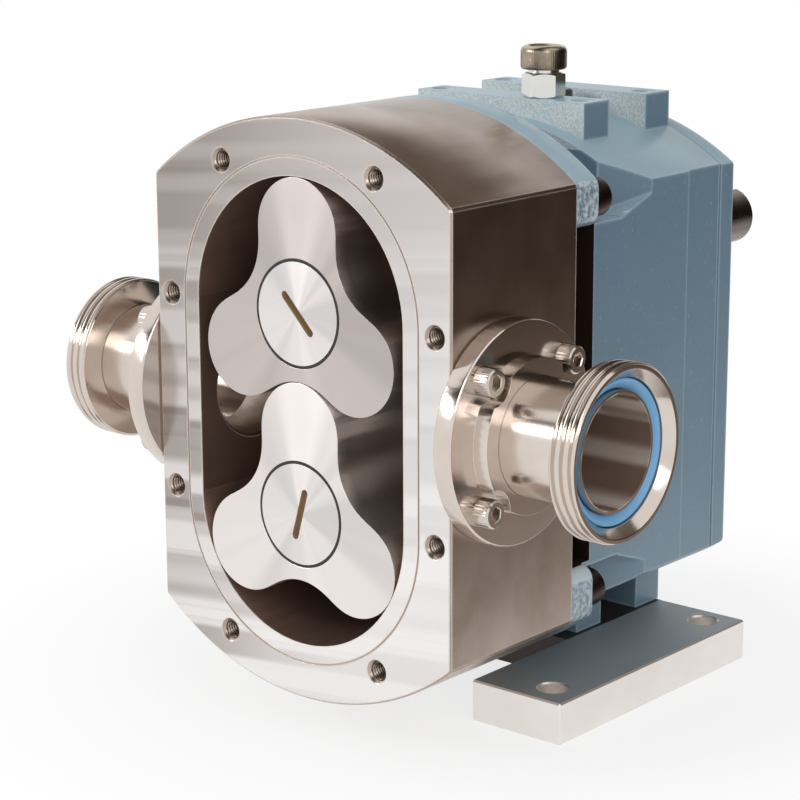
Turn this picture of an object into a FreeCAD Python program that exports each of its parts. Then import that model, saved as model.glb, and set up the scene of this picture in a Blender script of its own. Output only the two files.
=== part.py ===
import FreeCAD, Part
import Sketcher
import math
import os

# A rotary lobe pump with its front cover taken off.
# Lengths are millimetres and angles are degrees. +Z is up, the shafts lie along Y and the open
# front of the pump faces -Y. The origin is in the floor plane, midway between the four floor bolts.
# Every piece is drawn about the pump's own centre, which lies in the front face, midway between
# the two shafts, and is then placed from there.

doc = FreeCAD.newDocument("LobePump")
sheet = doc.addObject("Spreadsheet::Sheet", "Sizes")


class Size:
    # A named size or a sum made from named sizes: its number, and the text that binds it.
    def __init__(self, number, text):
        self.number = float(number)
        self.text = text

    def join(self, other, sign, number):
        text = other.text if isinstance(other, Size) else repr(float(other))
        return Size(number, "(" + self.text + " " + sign + " " + text + ")")

    def __add__(self, other):
        return self.join(other, "+", self.number + number_of(other))

    def __radd__(self, other):
        return self + other

    def __sub__(self, other):
        return self.join(other, "-", self.number - number_of(other))

    def __rsub__(self, other):
        return -self + other

    def __mul__(self, other):
        return self.join(other, "*", self.number * number_of(other))

    def __rmul__(self, other):
        return self * other

    def __truediv__(self, other):
        return self.join(other, "/", self.number / number_of(other))

    def __neg__(self):
        return Size(-self.number, "(0 - " + self.text + ")")


def number_of(value):
    return value.number if isinstance(value, Size) else float(value)


def text_of(value):
    return value.text if isinstance(value, Size) else repr(float(value))


def plain(value):
    return value if isinstance(value, Size) else Size(value, repr(float(value)))


def root_of(value):
    return Size(math.sqrt(value.number), "sqrt(" + value.text + ")")


def cosine_of(value):
    return Size(math.cos(math.radians(value.number)), "cos(" + value.text + ")")


def sine_of(value):
    return Size(math.sin(math.radians(value.number)), "sin(" + value.text + ")")


def size(alias, number):
    row = size.row
    sheet.set("A" + str(row), alias)
    sheet.set("B" + str(row), str(number))
    sheet.setAlias("B" + str(row), alias)
    size.row = row + 1
    return Size(number, "Sizes." + alias)


size.row = 1

# Shafts and rotors
shaft_spacing = size("shaft_spacing", 92)
chamber_radius = size("chamber_radius", 61)
chamber_depth = size("chamber_depth", 75)
rotor_radial_gap = size("rotor_radial_gap", 0.15)
rotor_end_gap = size("rotor_end_gap", 0.15)
rotor_mesh_gap = size("rotor_mesh_gap", 0.15)
fit_gap = size("fit_gap", 0.08)
seal_face_gap = size("seal_face_gap", 0.1)

# Pump case
case_width = size("case_width", 175)
case_side_height = shaft_spacing + size("case_beyond_shafts", 110)
case_arc_radius = case_width - size("case_width_beyond_arc", 40)
case_depth = chamber_depth + size("case_back_wall", 12.8)
case_edge_chamfer = size("case_edge_chamfer", 1)
seal_land_width = size("seal_land_width", 9)
land_groove_width = size("land_groove_width", 0.8)
land_groove_depth = size("land_groove_depth", 0.6)
cover_hole_circle = chamber_radius + size("cover_hole_setback", 17.5)
cover_hole_angle = size("cover_hole_angle", 55)
cover_hole_core = size("cover_hole_core", 8.5)
cover_hole_rim = size("cover_hole_rim", 11.4)
cover_hole_depth = size("cover_hole_depth", 24)

# Ports
port_setback = chamber_depth / 2
port_bore = size("port_bore", 50)
port_rim_chamfer = size("port_rim_chamfer", 1.6)
port_reach = case_width / 2 + size("port_stand_off", 64.5)
disc_diameter = port_bore + size("disc_beyond_bore", 50)
disc_thickness = size("disc_thickness", 9.5)
disc_chamfer = size("disc_chamfer", 0.8)
hub_diameter = port_bore + size("hub_beyond_bore", 19)
hub_length = size("hub_length", 7.5)
hub_scallop = size("hub_scallop", 21)
tube_diameter = port_bore + size("tube_wall", 1.5) * 2
collar_diameter = port_bore + size("collar_beyond_bore", 28)
collar_length = size("collar_length", 16)
seal_seat_diameter = port_bore + size("seal_seat_beyond_bore", 14.3)
seal_seat_setback = size("seal_seat_setback", 4.5)
seal_ring_outer = port_bore + size("seal_ring_beyond_bore", 13.4)
seal_ring_inner = tube_diameter + size("seal_ring_play", 0.35) * 2
seal_ring_thickness = size("seal_ring_thickness", 5)
seal_ring_gap = size("seal_ring_gap", 0.05)
tube_setback = size("tube_setback", 1)
seal_cone_mouth = port_bore + size("cone_mouth_beyond_bore", 22.4)
port_screw_circle = port_bore / 2 + size("port_screw_setback", 15.5)
port_screw_diameter = size("port_screw_diameter", 8)
port_screw_reach = size("port_screw_reach", 20)
port_screw_head = size("port_screw_head", 13)
hole_clearance = size("hole_clearance", 0.5)

# Gearbox
body_width = case_width - size("case_overhang", 7) * 2
body_side_height = shaft_spacing + size("body_beyond_shafts", 99)
body_arc_radius = body_width - size("body_width_beyond_arc", 21.5)
flange_thickness = size("flange_thickness", 16.2)
lug_rounding = size("lug_rounding", 6.8)
body_front = case_depth + size("lantern_depth", 22.7)
flange_rear = case_depth + flange_thickness
body_top_front = flange_rear + size("neck_length", 29)
body_rear = body_top_front + size("body_length", 81)
neck_side_height = shaft_spacing + size("neck_beyond_shafts", 69)
neck_inset = size("neck_inset", 30.5)
neck_slope = size("neck_slope", 15)
neck_top_height = shaft_spacing + size("neck_crest_beyond_shafts", 120)
window_low = -(shaft_spacing / 2 + size("window_below_shaft", 32))
window_depth = size("window_depth", 50)
notch_reach = size("notch_reach", 24)
notch_mouth_depth = size("notch_mouth_depth", 15.4)
notch_end_depth = size("notch_end_depth", 0.5)
notch_rise = size("notch_rise", 9)
side_panel_front = body_rear - size("side_panel_length", 27)
side_panel_depth = size("side_panel_depth", 0.6)
bar_half_length = size("bar_half_length", 50)
bar_width = size("bar_width", 20)
bar_height = shaft_spacing / 2 + size("bars_above_shaft", 83.2)
front_bar = body_top_front + size("front_bar_setback", 10.6)
rear_bar = body_rear - size("rear_bar_setback", 20.4)
bar_hole_core = size("bar_hole_core", 10.2)
bar_hole_rim = size("bar_hole_rim", 12.5)
bar_hole_depth = size("bar_hole_depth", 16)
bar_hole_offset = bar_half_length - size("bar_hole_inset", 8)
case_bolt_across = case_width / 2 - size("case_bolt_inset", 9.5)
case_bolt_up = shaft_spacing / 2 + size("case_bolt_above_shaft", 46)
case_bolt_diameter = size("case_bolt_diameter", 12)
case_bolt_head = size("case_bolt_head", 18)
case_bolt_reach = size("case_bolt_reach", 16)
dowel_diameter = size("dowel_diameter", 8)
dowel_length = size("dowel_length", 24)
dowel_up = shaft_spacing / 2 + size("dowel_above_shaft", 66)
dowel_across = size("dowel_across", 30)

# Inside the gearbox
gear_space_front = body_rear - size("gear_space_length", 36)
bearing_wall = size("bearing_wall", 3)
gear_tip_clearance = size("gear_tip_clearance", 6)
lantern_radius = size("lantern_radius", 38)
bearing_shoulder = size("bearing_shoulder", 3)
oil_passage_radius = size("oil_passage_radius", 7)
oil_passage_inset = size("oil_passage_inset", 10)
oil_way_overrun = size("oil_way_overrun", 6)

# Shafts and what they carry
shaft_end_diameter = size("shaft_end_diameter", 30)
shaft_end_length = size("shaft_end_length", 120.5)
shaft_end_chamfer = size("shaft_end_chamfer", 1)
rotor_seat_diameter = size("rotor_seat_diameter", 30)
rotor_seat_rear = chamber_depth - size("face_seal_space", 22.5)
seal_journal_diameter = size("seal_journal_diameter", 35)
shaft_middle_diameter = size("shaft_middle_diameter", 42)
nut_thread_diameter = size("nut_thread_diameter", 20)
nut_thread_rear = size("nut_thread_rear", 23)
nut_face_thickness = size("nut_face_thickness", 5)
nut_diameter = size("nut_diameter", 46.6)
nut_ring_width = size("nut_ring_width", 1.4)
nut_ring_gap = size("nut_ring_gap", 0.05)
nut_ring_setback = size("nut_ring_setback", 0.4)
nut_ring_depth = size("nut_ring_depth", 2.6)
nut_thickness = size("nut_thickness", 9)
nut_stem_length = size("nut_stem_length", 12)
nut_slot_length = size("nut_slot_length", 25)
nut_slot_width = size("nut_slot_width", 3.6)
nut_slot_depth = size("nut_slot_depth", 3)
drive_slot_angle = size("drive_slot_angle", 134)
driven_slot_angle = size("driven_slot_angle", 74)
keyway_width = size("keyway_width", 8)
keyway_depth = size("keyway_depth", 4)
keyway_length = size("keyway_length", 50)
bearing_outer = size("bearing_outer", 72)
bearing_width = size("bearing_width", 17)
outer_race_wall = size("outer_race_wall", 4.6)
inner_race_wall = size("inner_race_wall", 4.6)
roller_gap = size("roller_gap", 0.1)
roller_length = size("roller_length", 11)
roller_count = 8
cage_wall = size("cage_wall", 2.4)
gear_width = size("gear_width", 24)
gear_backlash = size("gear_backlash", 0.35)
gear_teeth = size("gear_teeth", 23)
gear_hub_length = size("gear_hub_length", 2)
gear_seat_diameter = size("gear_seat_diameter", 34)
gear_pressure_angle = size("gear_pressure_angle", 20)
gear_root_depth = size("gear_root_depth", 1.25)
gear_key_width = size("gear_key_width", 10)
gear_key_height = size("gear_key_height", 8)
gear_key_rise = size("gear_key_rise", 3.2)
rear_journal_diameter = size("rear_journal_diameter", 32)
journal_overrun = size("journal_overrun", 2.5)
locknut_diameter = size("locknut_diameter", 50)
locknut_width = size("locknut_width", 7)
locknut_slot_width = size("locknut_slot_width", 6)
locknut_slot_depth = size("locknut_slot_depth", 3)
rotor_key_width = size("rotor_key_width", 8)
rotor_key_height = size("rotor_key_height", 7)
rotor_key_length = size("rotor_key_length", 24)
rotor_key_setback = size("rotor_key_setback", 2)
rotor_key_rise = size("rotor_key_rise", 2.94)
gear_key_length = size("gear_key_length", 20)
driven_shaft_overrun = size("driven_shaft_overrun", 1)
lip_seal_outer = size("lip_seal_outer", 55)
lip_seal_width = size("lip_seal_width", 8)
running_gap = size("running_gap", 0.1)
face_seal_outer = size("face_seal_outer", 50)
seal_seat_outer = size("seal_seat_outer", 52)
seal_seat_thickness = size("seal_seat_thickness", 6.6)
shaft_hole_gap = size("shaft_hole_gap", 1.5)

# Rear cover
cover_thickness = size("cover_thickness", 15)
cover_gasket = size("cover_gasket", 0.5)
cover_rounding = size("cover_rounding", 6)
cover_corner_rounding = size("cover_corner_rounding", 2)
cover_bolt_diameter = size("cover_bolt_diameter", 6)
cover_bolt_head = size("cover_bolt_head", 10)
cover_bolt_head_height = size("cover_bolt_head_height", 4)
cover_bolt_across = body_width / 2 - size("cover_bolt_inset", 11.5)
cover_bolt_up = shaft_spacing / 2 + size("cover_bolt_above_shaft", 17)
cover_bolt_top = shaft_spacing / 2 + size("top_cover_bolt_above_shaft", 61)
cover_bolt_top_across = size("cover_bolt_top_across", 24)
cover_bolt_reach = size("cover_bolt_reach", 12)

# Mounting feet
foot_inner = bar_half_length + size("foot_beyond_bars", 2.5)
foot_width = size("foot_width", 50)
foot_front = body_top_front - size("foot_lead", 73.5)
foot_rear = body_rear - size("foot_rear_setback", 1.5)
foot_thickness = size("foot_thickness", 20)
floor_hole_diameter = size("floor_hole_diameter", 14)
floor_hole_inset = size("floor_hole_inset", 15.5)
floor_hole_rim = size("floor_hole_rim", 15.6)
floor_hole_front = foot_front + size("floor_hole_front_inset", 15.5)
floor_hole_rear = foot_rear - size("floor_hole_rear_inset", 13.5)
cross_plate_front = body_top_front - size("cross_plate_lead", 0.5)
foot_edge_chamfer = size("foot_edge_chamfer", 0.8)
base_screw_diameter = size("base_screw_diameter", 12)
base_screw_head = size("base_screw_head", 18)
base_screw_reach = size("base_screw_reach", 14)

# Breather, plugs and oil glass
breather_across = size("breather_across", 19)
breather_hex = size("breather_hex", 18)
breather_hex_height = size("breather_hex_height", 11.8)
breather_neck_diameter = size("breather_neck_diameter", 15.5)
breather_neck_height = size("breather_neck_height", 1.6)
breather_cap_diameter = size("breather_cap_diameter", 22)
breather_cap_height = size("breather_cap_height", 11)
breather_thread = size("breather_thread", 12)
breather_thread_length = size("breather_thread_length", 14)
filler_plug_diameter = size("filler_plug_diameter", 16)
filler_plug_height = size("filler_plug_height", 5)
filler_plug_back = (front_bar + bar_width + rear_bar) / 2
filler_plug_across = size("filler_plug_across", 8)
filler_thread_spare = size("filler_thread_spare", 20.5)
filler_seat_depth = size("filler_seat_depth", 1.5)
glass_diameter = size("glass_diameter", 24)
glass_thickness = size("glass_thickness", 6)
glass_ledge = size("glass_ledge", 3)
glass_back = body_top_front + size("glass_setback", 13)
glass_up = size("glass_up", -30)
drain_diameter = size("drain_diameter", 14)
drain_head = size("drain_head", 20)

# Places that follow from the sizes
spacing_half = shaft_spacing / 2
base_drop = bar_height + foot_thickness
bolts_back = (floor_hole_front + floor_hole_rear) / 2
case_side = case_width / 2
case_corner = case_side_height / 2
case_arc_centre = case_corner - root_of(case_arc_radius * case_arc_radius - case_side * case_side)
body_side = body_width / 2
body_corner = body_side_height / 2
body_arc_centre = body_corner - root_of(body_arc_radius * body_arc_radius - body_side * body_side)
gear_space_radius = spacing_half + shaft_spacing / gear_teeth + gear_tip_clearance
cover_front = body_rear + cover_gasket
cover_rear = cover_front + cover_thickness
rear_bearing_front = gear_space_front - bearing_width
oil_space_rear = rear_bearing_front - bearing_wall
front_bearing_front = body_front + lip_seal_width
oil_space_front = front_bearing_front + bearing_width
rear_journal_end = cover_rear + journal_overrun
shaft_end_reach = cover_rear + shaft_end_length


def body(label):
    made = doc.addObject("PartDesign::Body", label)
    made.Label = label
    return made


def origin_plane(owner, role):
    for feature in owner.Origin.OriginFeatures:
        if feature.Role == role:
            return feature
    raise ValueError(role)


def sketch(owner, role, name, offset=0):
    # Planes: XY draws x right and y back; XZ draws x right and z up; YZ draws y right and z up.
    made = owner.newObject("Sketcher::SketchObject", name)
    made.AttachmentSupport = [(origin_plane(owner, role), "")]
    made.MapMode = "FlatFace"
    if isinstance(offset, Size):
        made.setExpression("AttachmentOffset.Base.z", offset.text)
        made.AttachmentOffset = FreeCAD.Placement(FreeCAD.Vector(0, 0, offset.number), FreeCAD.Rotation())
    elif offset:
        made.AttachmentOffset = FreeCAD.Placement(FreeCAD.Vector(0, 0, offset), FreeCAD.Rotation())
    return made


def hold(drawing, kind, places, value):
    index = drawing.addConstraint(Sketcher.Constraint(kind, *places, number_of(value)))
    if isinstance(value, Size):
        drawing.setExpression("Constraints[" + str(index) + "]", value.text)


def hold_point(drawing, geometry, end, across, up):
    hold(drawing, "DistanceX", (-1, 1, geometry, end), across)
    hold(drawing, "DistanceY", (-1, 1, geometry, end), up)


def draw_circle(drawing, across, up, radius):
    centre = FreeCAD.Vector(number_of(across), number_of(up), 0)
    index = drawing.addGeometry(Part.Circle(centre, FreeCAD.Vector(0, 0, 1), number_of(radius)))
    hold_point(drawing, index, 3, across, up)
    hold(drawing, "Radius", (index,), radius)
    return index


def draw_outline(drawing, points):
    # A closed outline of straight lines, with every corner held at its place.
    places = [FreeCAD.Vector(number_of(x), number_of(y), 0) for x, y in points]
    count = len(places)
    first = drawing.GeometryCount
    for index in range(count):
        drawing.addGeometry(Part.LineSegment(places[index], places[(index + 1) % count]))
    for index in range(count):
        after = first + (index + 1) % count
        drawing.addConstraint(Sketcher.Constraint("Coincident", first + index, 2, after, 1))
    for index, (x, y) in enumerate(points):
        hold_point(drawing, first + index, 1, x, y)
    return first


def draw_rectangle(drawing, left, right, low, high):
    if number_of(left) > number_of(right):
        left, right = right, left
    if number_of(low) > number_of(high):
        low, high = high, low
    return draw_outline(drawing, [(left, low), (right, low), (right, high), (left, high)])


def draw_arched(drawing, side, corner, radius, centre):
    # Upright sides with an arc above and an arc below; the arcs' centres lie on the middle line.
    x, z, r, c = side.number, corner.number, radius.number, centre.number
    lean = math.atan2(z - c, x)
    right = drawing.addGeometry(Part.LineSegment(FreeCAD.Vector(x, -z, 0), FreeCAD.Vector(x, z, 0)))
    ring = Part.Circle(FreeCAD.Vector(0, c, 0), FreeCAD.Vector(0, 0, 1), r)
    top = drawing.addGeometry(Part.ArcOfCircle(ring, lean, math.pi - lean))
    left = drawing.addGeometry(Part.LineSegment(FreeCAD.Vector(-x, z, 0), FreeCAD.Vector(-x, -z, 0)))
    ring = Part.Circle(FreeCAD.Vector(0, -c, 0), FreeCAD.Vector(0, 0, 1), r)
    bottom = drawing.addGeometry(Part.ArcOfCircle(ring, math.pi + lean, 2 * math.pi - lean))
    drawing.addConstraint(Sketcher.Constraint("Coincident", right, 2, top, 1))
    drawing.addConstraint(Sketcher.Constraint("Coincident", top, 2, left, 1))
    drawing.addConstraint(Sketcher.Constraint("Coincident", left, 2, bottom, 1))
    drawing.addConstraint(Sketcher.Constraint("Coincident", bottom, 2, right, 1))
    hold_point(drawing, right, 1, side, -corner)
    hold_point(drawing, right, 2, side, corner)
    hold_point(drawing, left, 1, -side, corner)
    hold_point(drawing, left, 2, -side, -corner)
    hold(drawing, "Radius", (top,), radius)
    hold(drawing, "Radius", (bottom,), radius)


def draw_obround(drawing, across, low, high, radius):
    # Two half circles, one about the low point and one about the high point, with straight sides.
    a, b, h, r = number_of(across), number_of(low), number_of(high), number_of(radius)
    ring = Part.Circle(FreeCAD.Vector(a, h, 0), FreeCAD.Vector(0, 0, 1), r)
    top = drawing.addGeometry(Part.ArcOfCircle(ring, 0, math.pi))
    left = drawing.addGeometry(Part.LineSegment(FreeCAD.Vector(a - r, h, 0), FreeCAD.Vector(a - r, b, 0)))
    ring = Part.Circle(FreeCAD.Vector(a, b, 0), FreeCAD.Vector(0, 0, 1), r)
    bottom = drawing.addGeometry(Part.ArcOfCircle(ring, math.pi, 2 * math.pi))
    right = drawing.addGeometry(Part.LineSegment(FreeCAD.Vector(a + r, b, 0), FreeCAD.Vector(a + r, h, 0)))
    drawing.addConstraint(Sketcher.Constraint("Coincident", top, 2, left, 1))
    drawing.addConstraint(Sketcher.Constraint("Coincident", left, 2, bottom, 1))
    drawing.addConstraint(Sketcher.Constraint("Coincident", bottom, 2, right, 1))
    drawing.addConstraint(Sketcher.Constraint("Coincident", right, 2, top, 1))
    hold_point(drawing, left, 1, across - radius, high)
    hold_point(drawing, left, 2, across - radius, low)
    hold_point(drawing, right, 1, across + radius, low)
    hold_point(drawing, right, 2, across + radius, high)
    hold(drawing, "DistanceY", (-1, 1, top, 3), high)
    hold(drawing, "DistanceY", (-1, 1, bottom, 3), low)


def bind(thing, field, value):
    if isinstance(value, Size):
        thing.setExpression(field, value.text)
    setattr(thing, field, number_of(value))


def pad(owner, drawing, name, length, backwards=False):
    made = owner.newObject("PartDesign::Pad", name)
    made.Profile = drawing
    bind(made, "Length", length)
    made.Reversed = backwards
    drawing.Visibility = False
    return made


def pocket(owner, drawing, name, length, backwards=False, both=False):
    before = volume_of(owner)
    made = owner.newObject("PartDesign::Pocket", name)
    made.Profile = drawing
    bind(made, "Length", length)
    if both:
        made.Midplane = True
    made.Reversed = backwards
    check_cut(owner, made, before)
    return made


def volume_of(owner):
    doc.recompute()
    return owner.Shape.Volume


def check_cut(owner, made, before):
    doc.recompute()
    if not owner.Shape.Volume < before - 1e-6:
        raise ValueError("nothing cut by " + made.Name)


def revolve(owner, drawing, name, axis):
    made = owner.newObject("PartDesign::Revolution", name)
    made.Profile = drawing
    made.ReferenceAxis = (drawing, [axis])
    made.Angle = 360
    return made


pieces = []


def place(owner, across=0, back=0, up=0, axis=None, angle=0):
    # Every piece is placed from the pump's centre, which is moved back and up to the floor bolts.
    rotation = FreeCAD.Rotation()
    if axis is not None:
        rotation = FreeCAD.Rotation(FreeCAD.Vector(*axis), angle)
    across = plain(across)
    back = plain(back) - bolts_back
    up = base_drop + up
    base = FreeCAD.Vector(across.number, back.number, up.number)
    owner.Placement = FreeCAD.Placement(base, rotation)
    owner.setExpression("Placement.Base.x", across.text)
    owner.setExpression("Placement.Base.y", back.text)
    owner.setExpression("Placement.Base.z", up.text)
    pieces.append(owner)


def turned(label, points, up=0, back=0):
    # A solid of revolution about a shaft's line: each point is a radius and a distance back.
    made = body(label)
    drawing = sketch(made, "XY_Plane", label + "_profile")
    draw_outline(drawing, points)
    revolve(made, drawing, label + "_turn", "V_Axis")
    place(made, 0, back, up)
    return made


def box_ring(label, inner, outer, front, rear, up=0):
    return turned(label, [(inner, front), (outer, front), (outer, rear), (inner, rear)], up)


def cylinder(name, radius, height, base, direction):
    made = doc.addObject("Part::Cylinder", name)
    bind(made, "Radius", radius)
    bind(made, "Height", height)
    x, y, z = base
    made.Placement = FreeCAD.Placement(FreeCAD.Vector(number_of(x), number_of(y), number_of(z)),
                                       FreeCAD.Rotation(FreeCAD.Vector(0, 0, 1), FreeCAD.Vector(*direction)))
    made.setExpression("Placement.Base.x", text_of(x))
    made.setExpression("Placement.Base.y", text_of(y))
    made.setExpression("Placement.Base.z", text_of(z))
    return made


def joined(label, shapes):
    made = doc.addObject("Part::MultiFuse", label)
    made.Label = label
    made.Shapes = shapes
    return made


def hole_set(owner, role, name, offset, places, core, depth, rim=None, backwards=False):
    # Round holes of one size, each with an optional countersunk rim.
    drawing = sketch(owner, role, name + "_places", offset)
    for across, up in places:
        draw_circle(drawing, across, up, core / 2)
    before = volume_of(owner)
    made = owner.newObject("PartDesign::Hole", name)
    made.Profile = drawing
    made.Threaded = False
    made.DepthType = 0
    bind(made, "Diameter", core)
    bind(made, "Depth", depth)
    made.DrillPoint = "Flat"
    if rim is not None:
        made.HoleCutType = "Countersink"
        bind(made, "HoleCutDiameter", rim)
        made.HoleCutCountersinkAngle = 90
    made.Reversed = backwards
    check_cut(owner, made, before)
    return made


def arched_block(label, name, side, corner, radius, centre, front, length):
    owner = body(label) if isinstance(label, str) else label
    drawing = sketch(owner, "XZ_Plane", name + "_outline", -front)
    draw_arched(drawing, side, corner, radius, centre)
    pad(owner, drawing, name, length, True)
    return owner


def edges_where(owner, wanted):
    # The names of the edges whose middle point passes the test.
    doc.recompute()
    names = []
    for index, edge in enumerate(owner.Tip.Shape.Edges):
        middle = edge.valueAt((edge.FirstParameter + edge.LastParameter) / 2)
        if wanted(middle, edge):
            names.append("Edge" + str(index + 1))
    return names


def dress(owner, kind, name, names, amount):
    base = owner.Tip
    made = owner.newObject("PartDesign::" + kind, name)
    made.Base = (base, names)
    bind(made, "Size" if kind == "Chamfer" else "Radius", amount)
    doc.recompute()
    return made


four_corners = [(-1, -1), (1, -1), (1, 1), (-1, 1)]
port_screw_step = port_screw_circle * cosine_of(plain(45))
port_screw_places = [(port_screw_step * a, port_screw_step * b) for a, b in four_corners]
disc_front = case_side + disc_thickness
hub_front = disc_front + hub_length
collar_back = port_reach - collar_length
seal_front = port_reach - seal_seat_setback
seal_back = seal_front - seal_ring_thickness

# The rotor case: a block with flat sides and an arc above and below, bored out for both rotors.
case = arched_block("rotor_case", "case_block", case_side, case_corner, case_arc_radius,
                    case_arc_centre, plain(0), case_depth)
case_edges = edges_where(case, lambda p, e: p.y < 0.01 or abs(p.y - case_depth.number / 2) < 0.01)
dress(case, "Chamfer", "case_edges", case_edges, case_edge_chamfer)
drawing = sketch(case, "XZ_Plane", "chamber_outline")
draw_obround(drawing, 0, -spacing_half, spacing_half, chamber_radius)
pocket(case, drawing, "chamber", chamber_depth)
land_radius = chamber_radius + seal_land_width
drawing = sketch(case, "XZ_Plane", "land_groove_outline")
draw_obround(drawing, 0, -spacing_half, spacing_half, land_radius)
draw_obround(drawing, 0, -spacing_half, spacing_half, land_radius - land_groove_width)
pocket(case, drawing, "land_groove", land_groove_depth)
upper_across = cover_hole_circle * cosine_of(cover_hole_angle)
upper_up = spacing_half + cover_hole_circle * sine_of(cover_hole_angle)
cover_places = [(upper_across * a, upper_up * b) for a, b in four_corners]
cover_places += [(cover_hole_circle * a, spacing_half * b) for a, b in four_corners]
hole_set(case, "XZ_Plane", "cover_holes", 0, cover_places, cover_hole_core, cover_hole_depth, cover_hole_rim)
drawing = sketch(case, "YZ_Plane", "port_opening")
draw_circle(drawing, port_setback, 0, port_bore / 2)
pocket(case, drawing, "port_bores", case_width + 2, False, True)
rims = edges_where(case, lambda p, e: abs(abs(p.x) - chamber_radius.number) < 0.01
                   and "Circle" in str(e.Curve))
dress(case, "Chamfer", "port_rims", rims, port_rim_chamfer)
screw_hole = port_screw_diameter + fit_gap * 2
screw_depth = port_screw_reach - disc_thickness + 1
places = [(port_setback + a, b) for a, b in port_screw_places]
hole_set(case, "YZ_Plane", "port_screw_holes_right", case_side, places, screw_hole, screw_depth)
hole_set(case, "YZ_Plane", "port_screw_holes_left", -case_side, places, screw_hole, screw_depth, None, True)
drawing = sketch(case, "XZ_Plane", "seal_seat_recess", -chamber_depth)
for sign in (1, -1):
    draw_circle(drawing, 0, spacing_half * sign, seal_seat_outer / 2 + fit_gap)
pocket(case, drawing, "seal_seat_recesses", seal_seat_thickness)
shaft_hole_radius = seal_journal_diameter / 2 + shaft_hole_gap
drawing = sketch(case, "XZ_Plane", "shaft_hole_outline", -chamber_depth)
for sign in (1, -1):
    draw_circle(drawing, 0, spacing_half * sign, shaft_hole_radius)
pocket(case, drawing, "shaft_holes", case_depth - chamber_depth + 1)
case_bolt_places = [(case_bolt_across * a, case_bolt_up * b) for a, b in four_corners]
case_bolt_hole = case_bolt_diameter + fit_gap * 2
hole_set(case, "XZ_Plane", "case_bolt_holes", -case_depth, case_bolt_places, case_bolt_hole,
         case_bolt_reach + 1, None, True)
dowel_places = [(dowel_across, dowel_up), (-dowel_across, -dowel_up)]
dowel_hole = dowel_diameter + fit_gap * 2
hole_set(case, "XZ_Plane", "case_dowel_holes", -case_depth, dowel_places, dowel_hole,
         dowel_length / 2 + hole_clearance, None, True)
place(case)


def port_flange(label, turn):
    # Disc flange with a hub that is scalloped round the four screws.
    made = body(label)
    drawing = sketch(made, "XY_Plane", label + "_profile")
    bore = tube_diameter / 2 + fit_gap
    disc = disc_diameter / 2
    draw_outline(drawing, [(case_side, bore), (case_side, disc - disc_chamfer),
                           (case_side + disc_chamfer, disc), (disc_front - disc_chamfer, disc),
                           (disc_front, disc - disc_chamfer),
                           (disc_front, hub_diameter / 2), (hub_front, hub_diameter / 2), (hub_front, bore)])
    revolve(made, drawing, label + "_turn", "H_Axis")
    hole_set(made, "YZ_Plane", label + "_screw_holes", disc_front, port_screw_places,
             port_screw_diameter + hole_clearance * 2, disc_thickness + 1)
    drawing = sketch(made, "YZ_Plane", label + "_scallop_outline", hub_front)
    for across, up in port_screw_places:
        draw_circle(drawing, across, up, hub_scallop / 2)
    pocket(made, drawing, label + "_scallops", hub_length)
    place(made, 0, port_setback, 0, (0, 0, 1), turn)


def port_collar(label, turn):
    # The round collar that takes the coupling nut, with a step for the seal ring and a cone in its mouth.
    made = body(label)
    drawing = sketch(made, "XY_Plane", label + "_profile")
    bore = tube_diameter / 2 + fit_gap
    seat = seal_seat_diameter / 2
    draw_outline(drawing, [(collar_back, bore), (collar_back, collar_diameter / 2),
                           (port_reach, collar_diameter / 2), (port_reach, seal_cone_mouth / 2),
                           (seal_front, seat), (seal_shoulder, seat), (seal_shoulder, bore)])
    revolve(made, drawing, label + "_turn", "H_Axis")
    place(made, 0, port_setback, 0, (0, 0, 1), turn)


def port_tube(label, turn):
    made = body(label)
    drawing = sketch(made, "XY_Plane", label + "_profile")
    draw_rectangle(drawing, case_side, tube_end, port_bore / 2, tube_diameter / 2)
    revolve(made, drawing, label + "_turn", "H_Axis")
    place(made, 0, port_setback, 0, (0, 0, 1), turn)


seal_shoulder = seal_back - seal_ring_gap
tube_end = seal_front - tube_setback
for side, turn in (("right", 0), ("left", 180)):
    port_flange("port_flange_" + side, turn)
    port_tube("port_tube_" + side, turn)
    port_collar("port_collar_" + side, turn)


def tube_solid(name, outer, inner, length, base, direction):
    made = doc.addObject("Part::Cut", name)
    made.Base = cylinder(name + "_outside", outer, length, base, direction)
    longer = length + 2
    x, y, z = base
    start = tuple(plain(v) - d * 1 for v, d in zip((x, y, z), direction))
    made.Tool = cylinder(name + "_inside", inner, longer, start, direction)
    return made


def fastener(name, head, head_height, shank, shank_length, seat, direction, hexagon=False):
    # A head that stands out from its seat along the direction, with its shank going the other way.
    x, y, z = seat
    inward = tuple(-d for d in direction)
    stem = cylinder(name + "_shank", shank / 2, shank_length, seat, inward)
    if hexagon:
        top = doc.addObject("Part::Prism", name + "_head")
        top.Polygon = 6
        bind(top, "Circumradius", head / 2 / cosine_of(plain(30)))
        bind(top, "Height", head_height)
        turn = FreeCAD.Rotation(FreeCAD.Vector(0, 0, 1), FreeCAD.Vector(*direction))
        top.Placement = FreeCAD.Placement(FreeCAD.Vector(number_of(x), number_of(y), number_of(z)), turn)
        for axis, value in zip("xyz", seat):
            top.setExpression("Placement.Base." + axis, text_of(value))
    else:
        top = cylinder(name + "_head", head / 2, head_height, seat, direction)
    made = doc.addObject("Part::Fuse", name)
    made.Base = top
    made.Tool = stem
    return made


# Seal rings in the mouths of both ports.
rings = []
for name, sign in (("right_seal_ring", 1), ("left_seal_ring", -1)):
    rings.append(tube_solid(name, seal_ring_outer / 2, seal_ring_inner / 2, seal_ring_thickness,
                            (seal_back * sign, port_setback, plain(0)), (sign, 0, 0)))
place(joined("port_seal_rings", rings))

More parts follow.
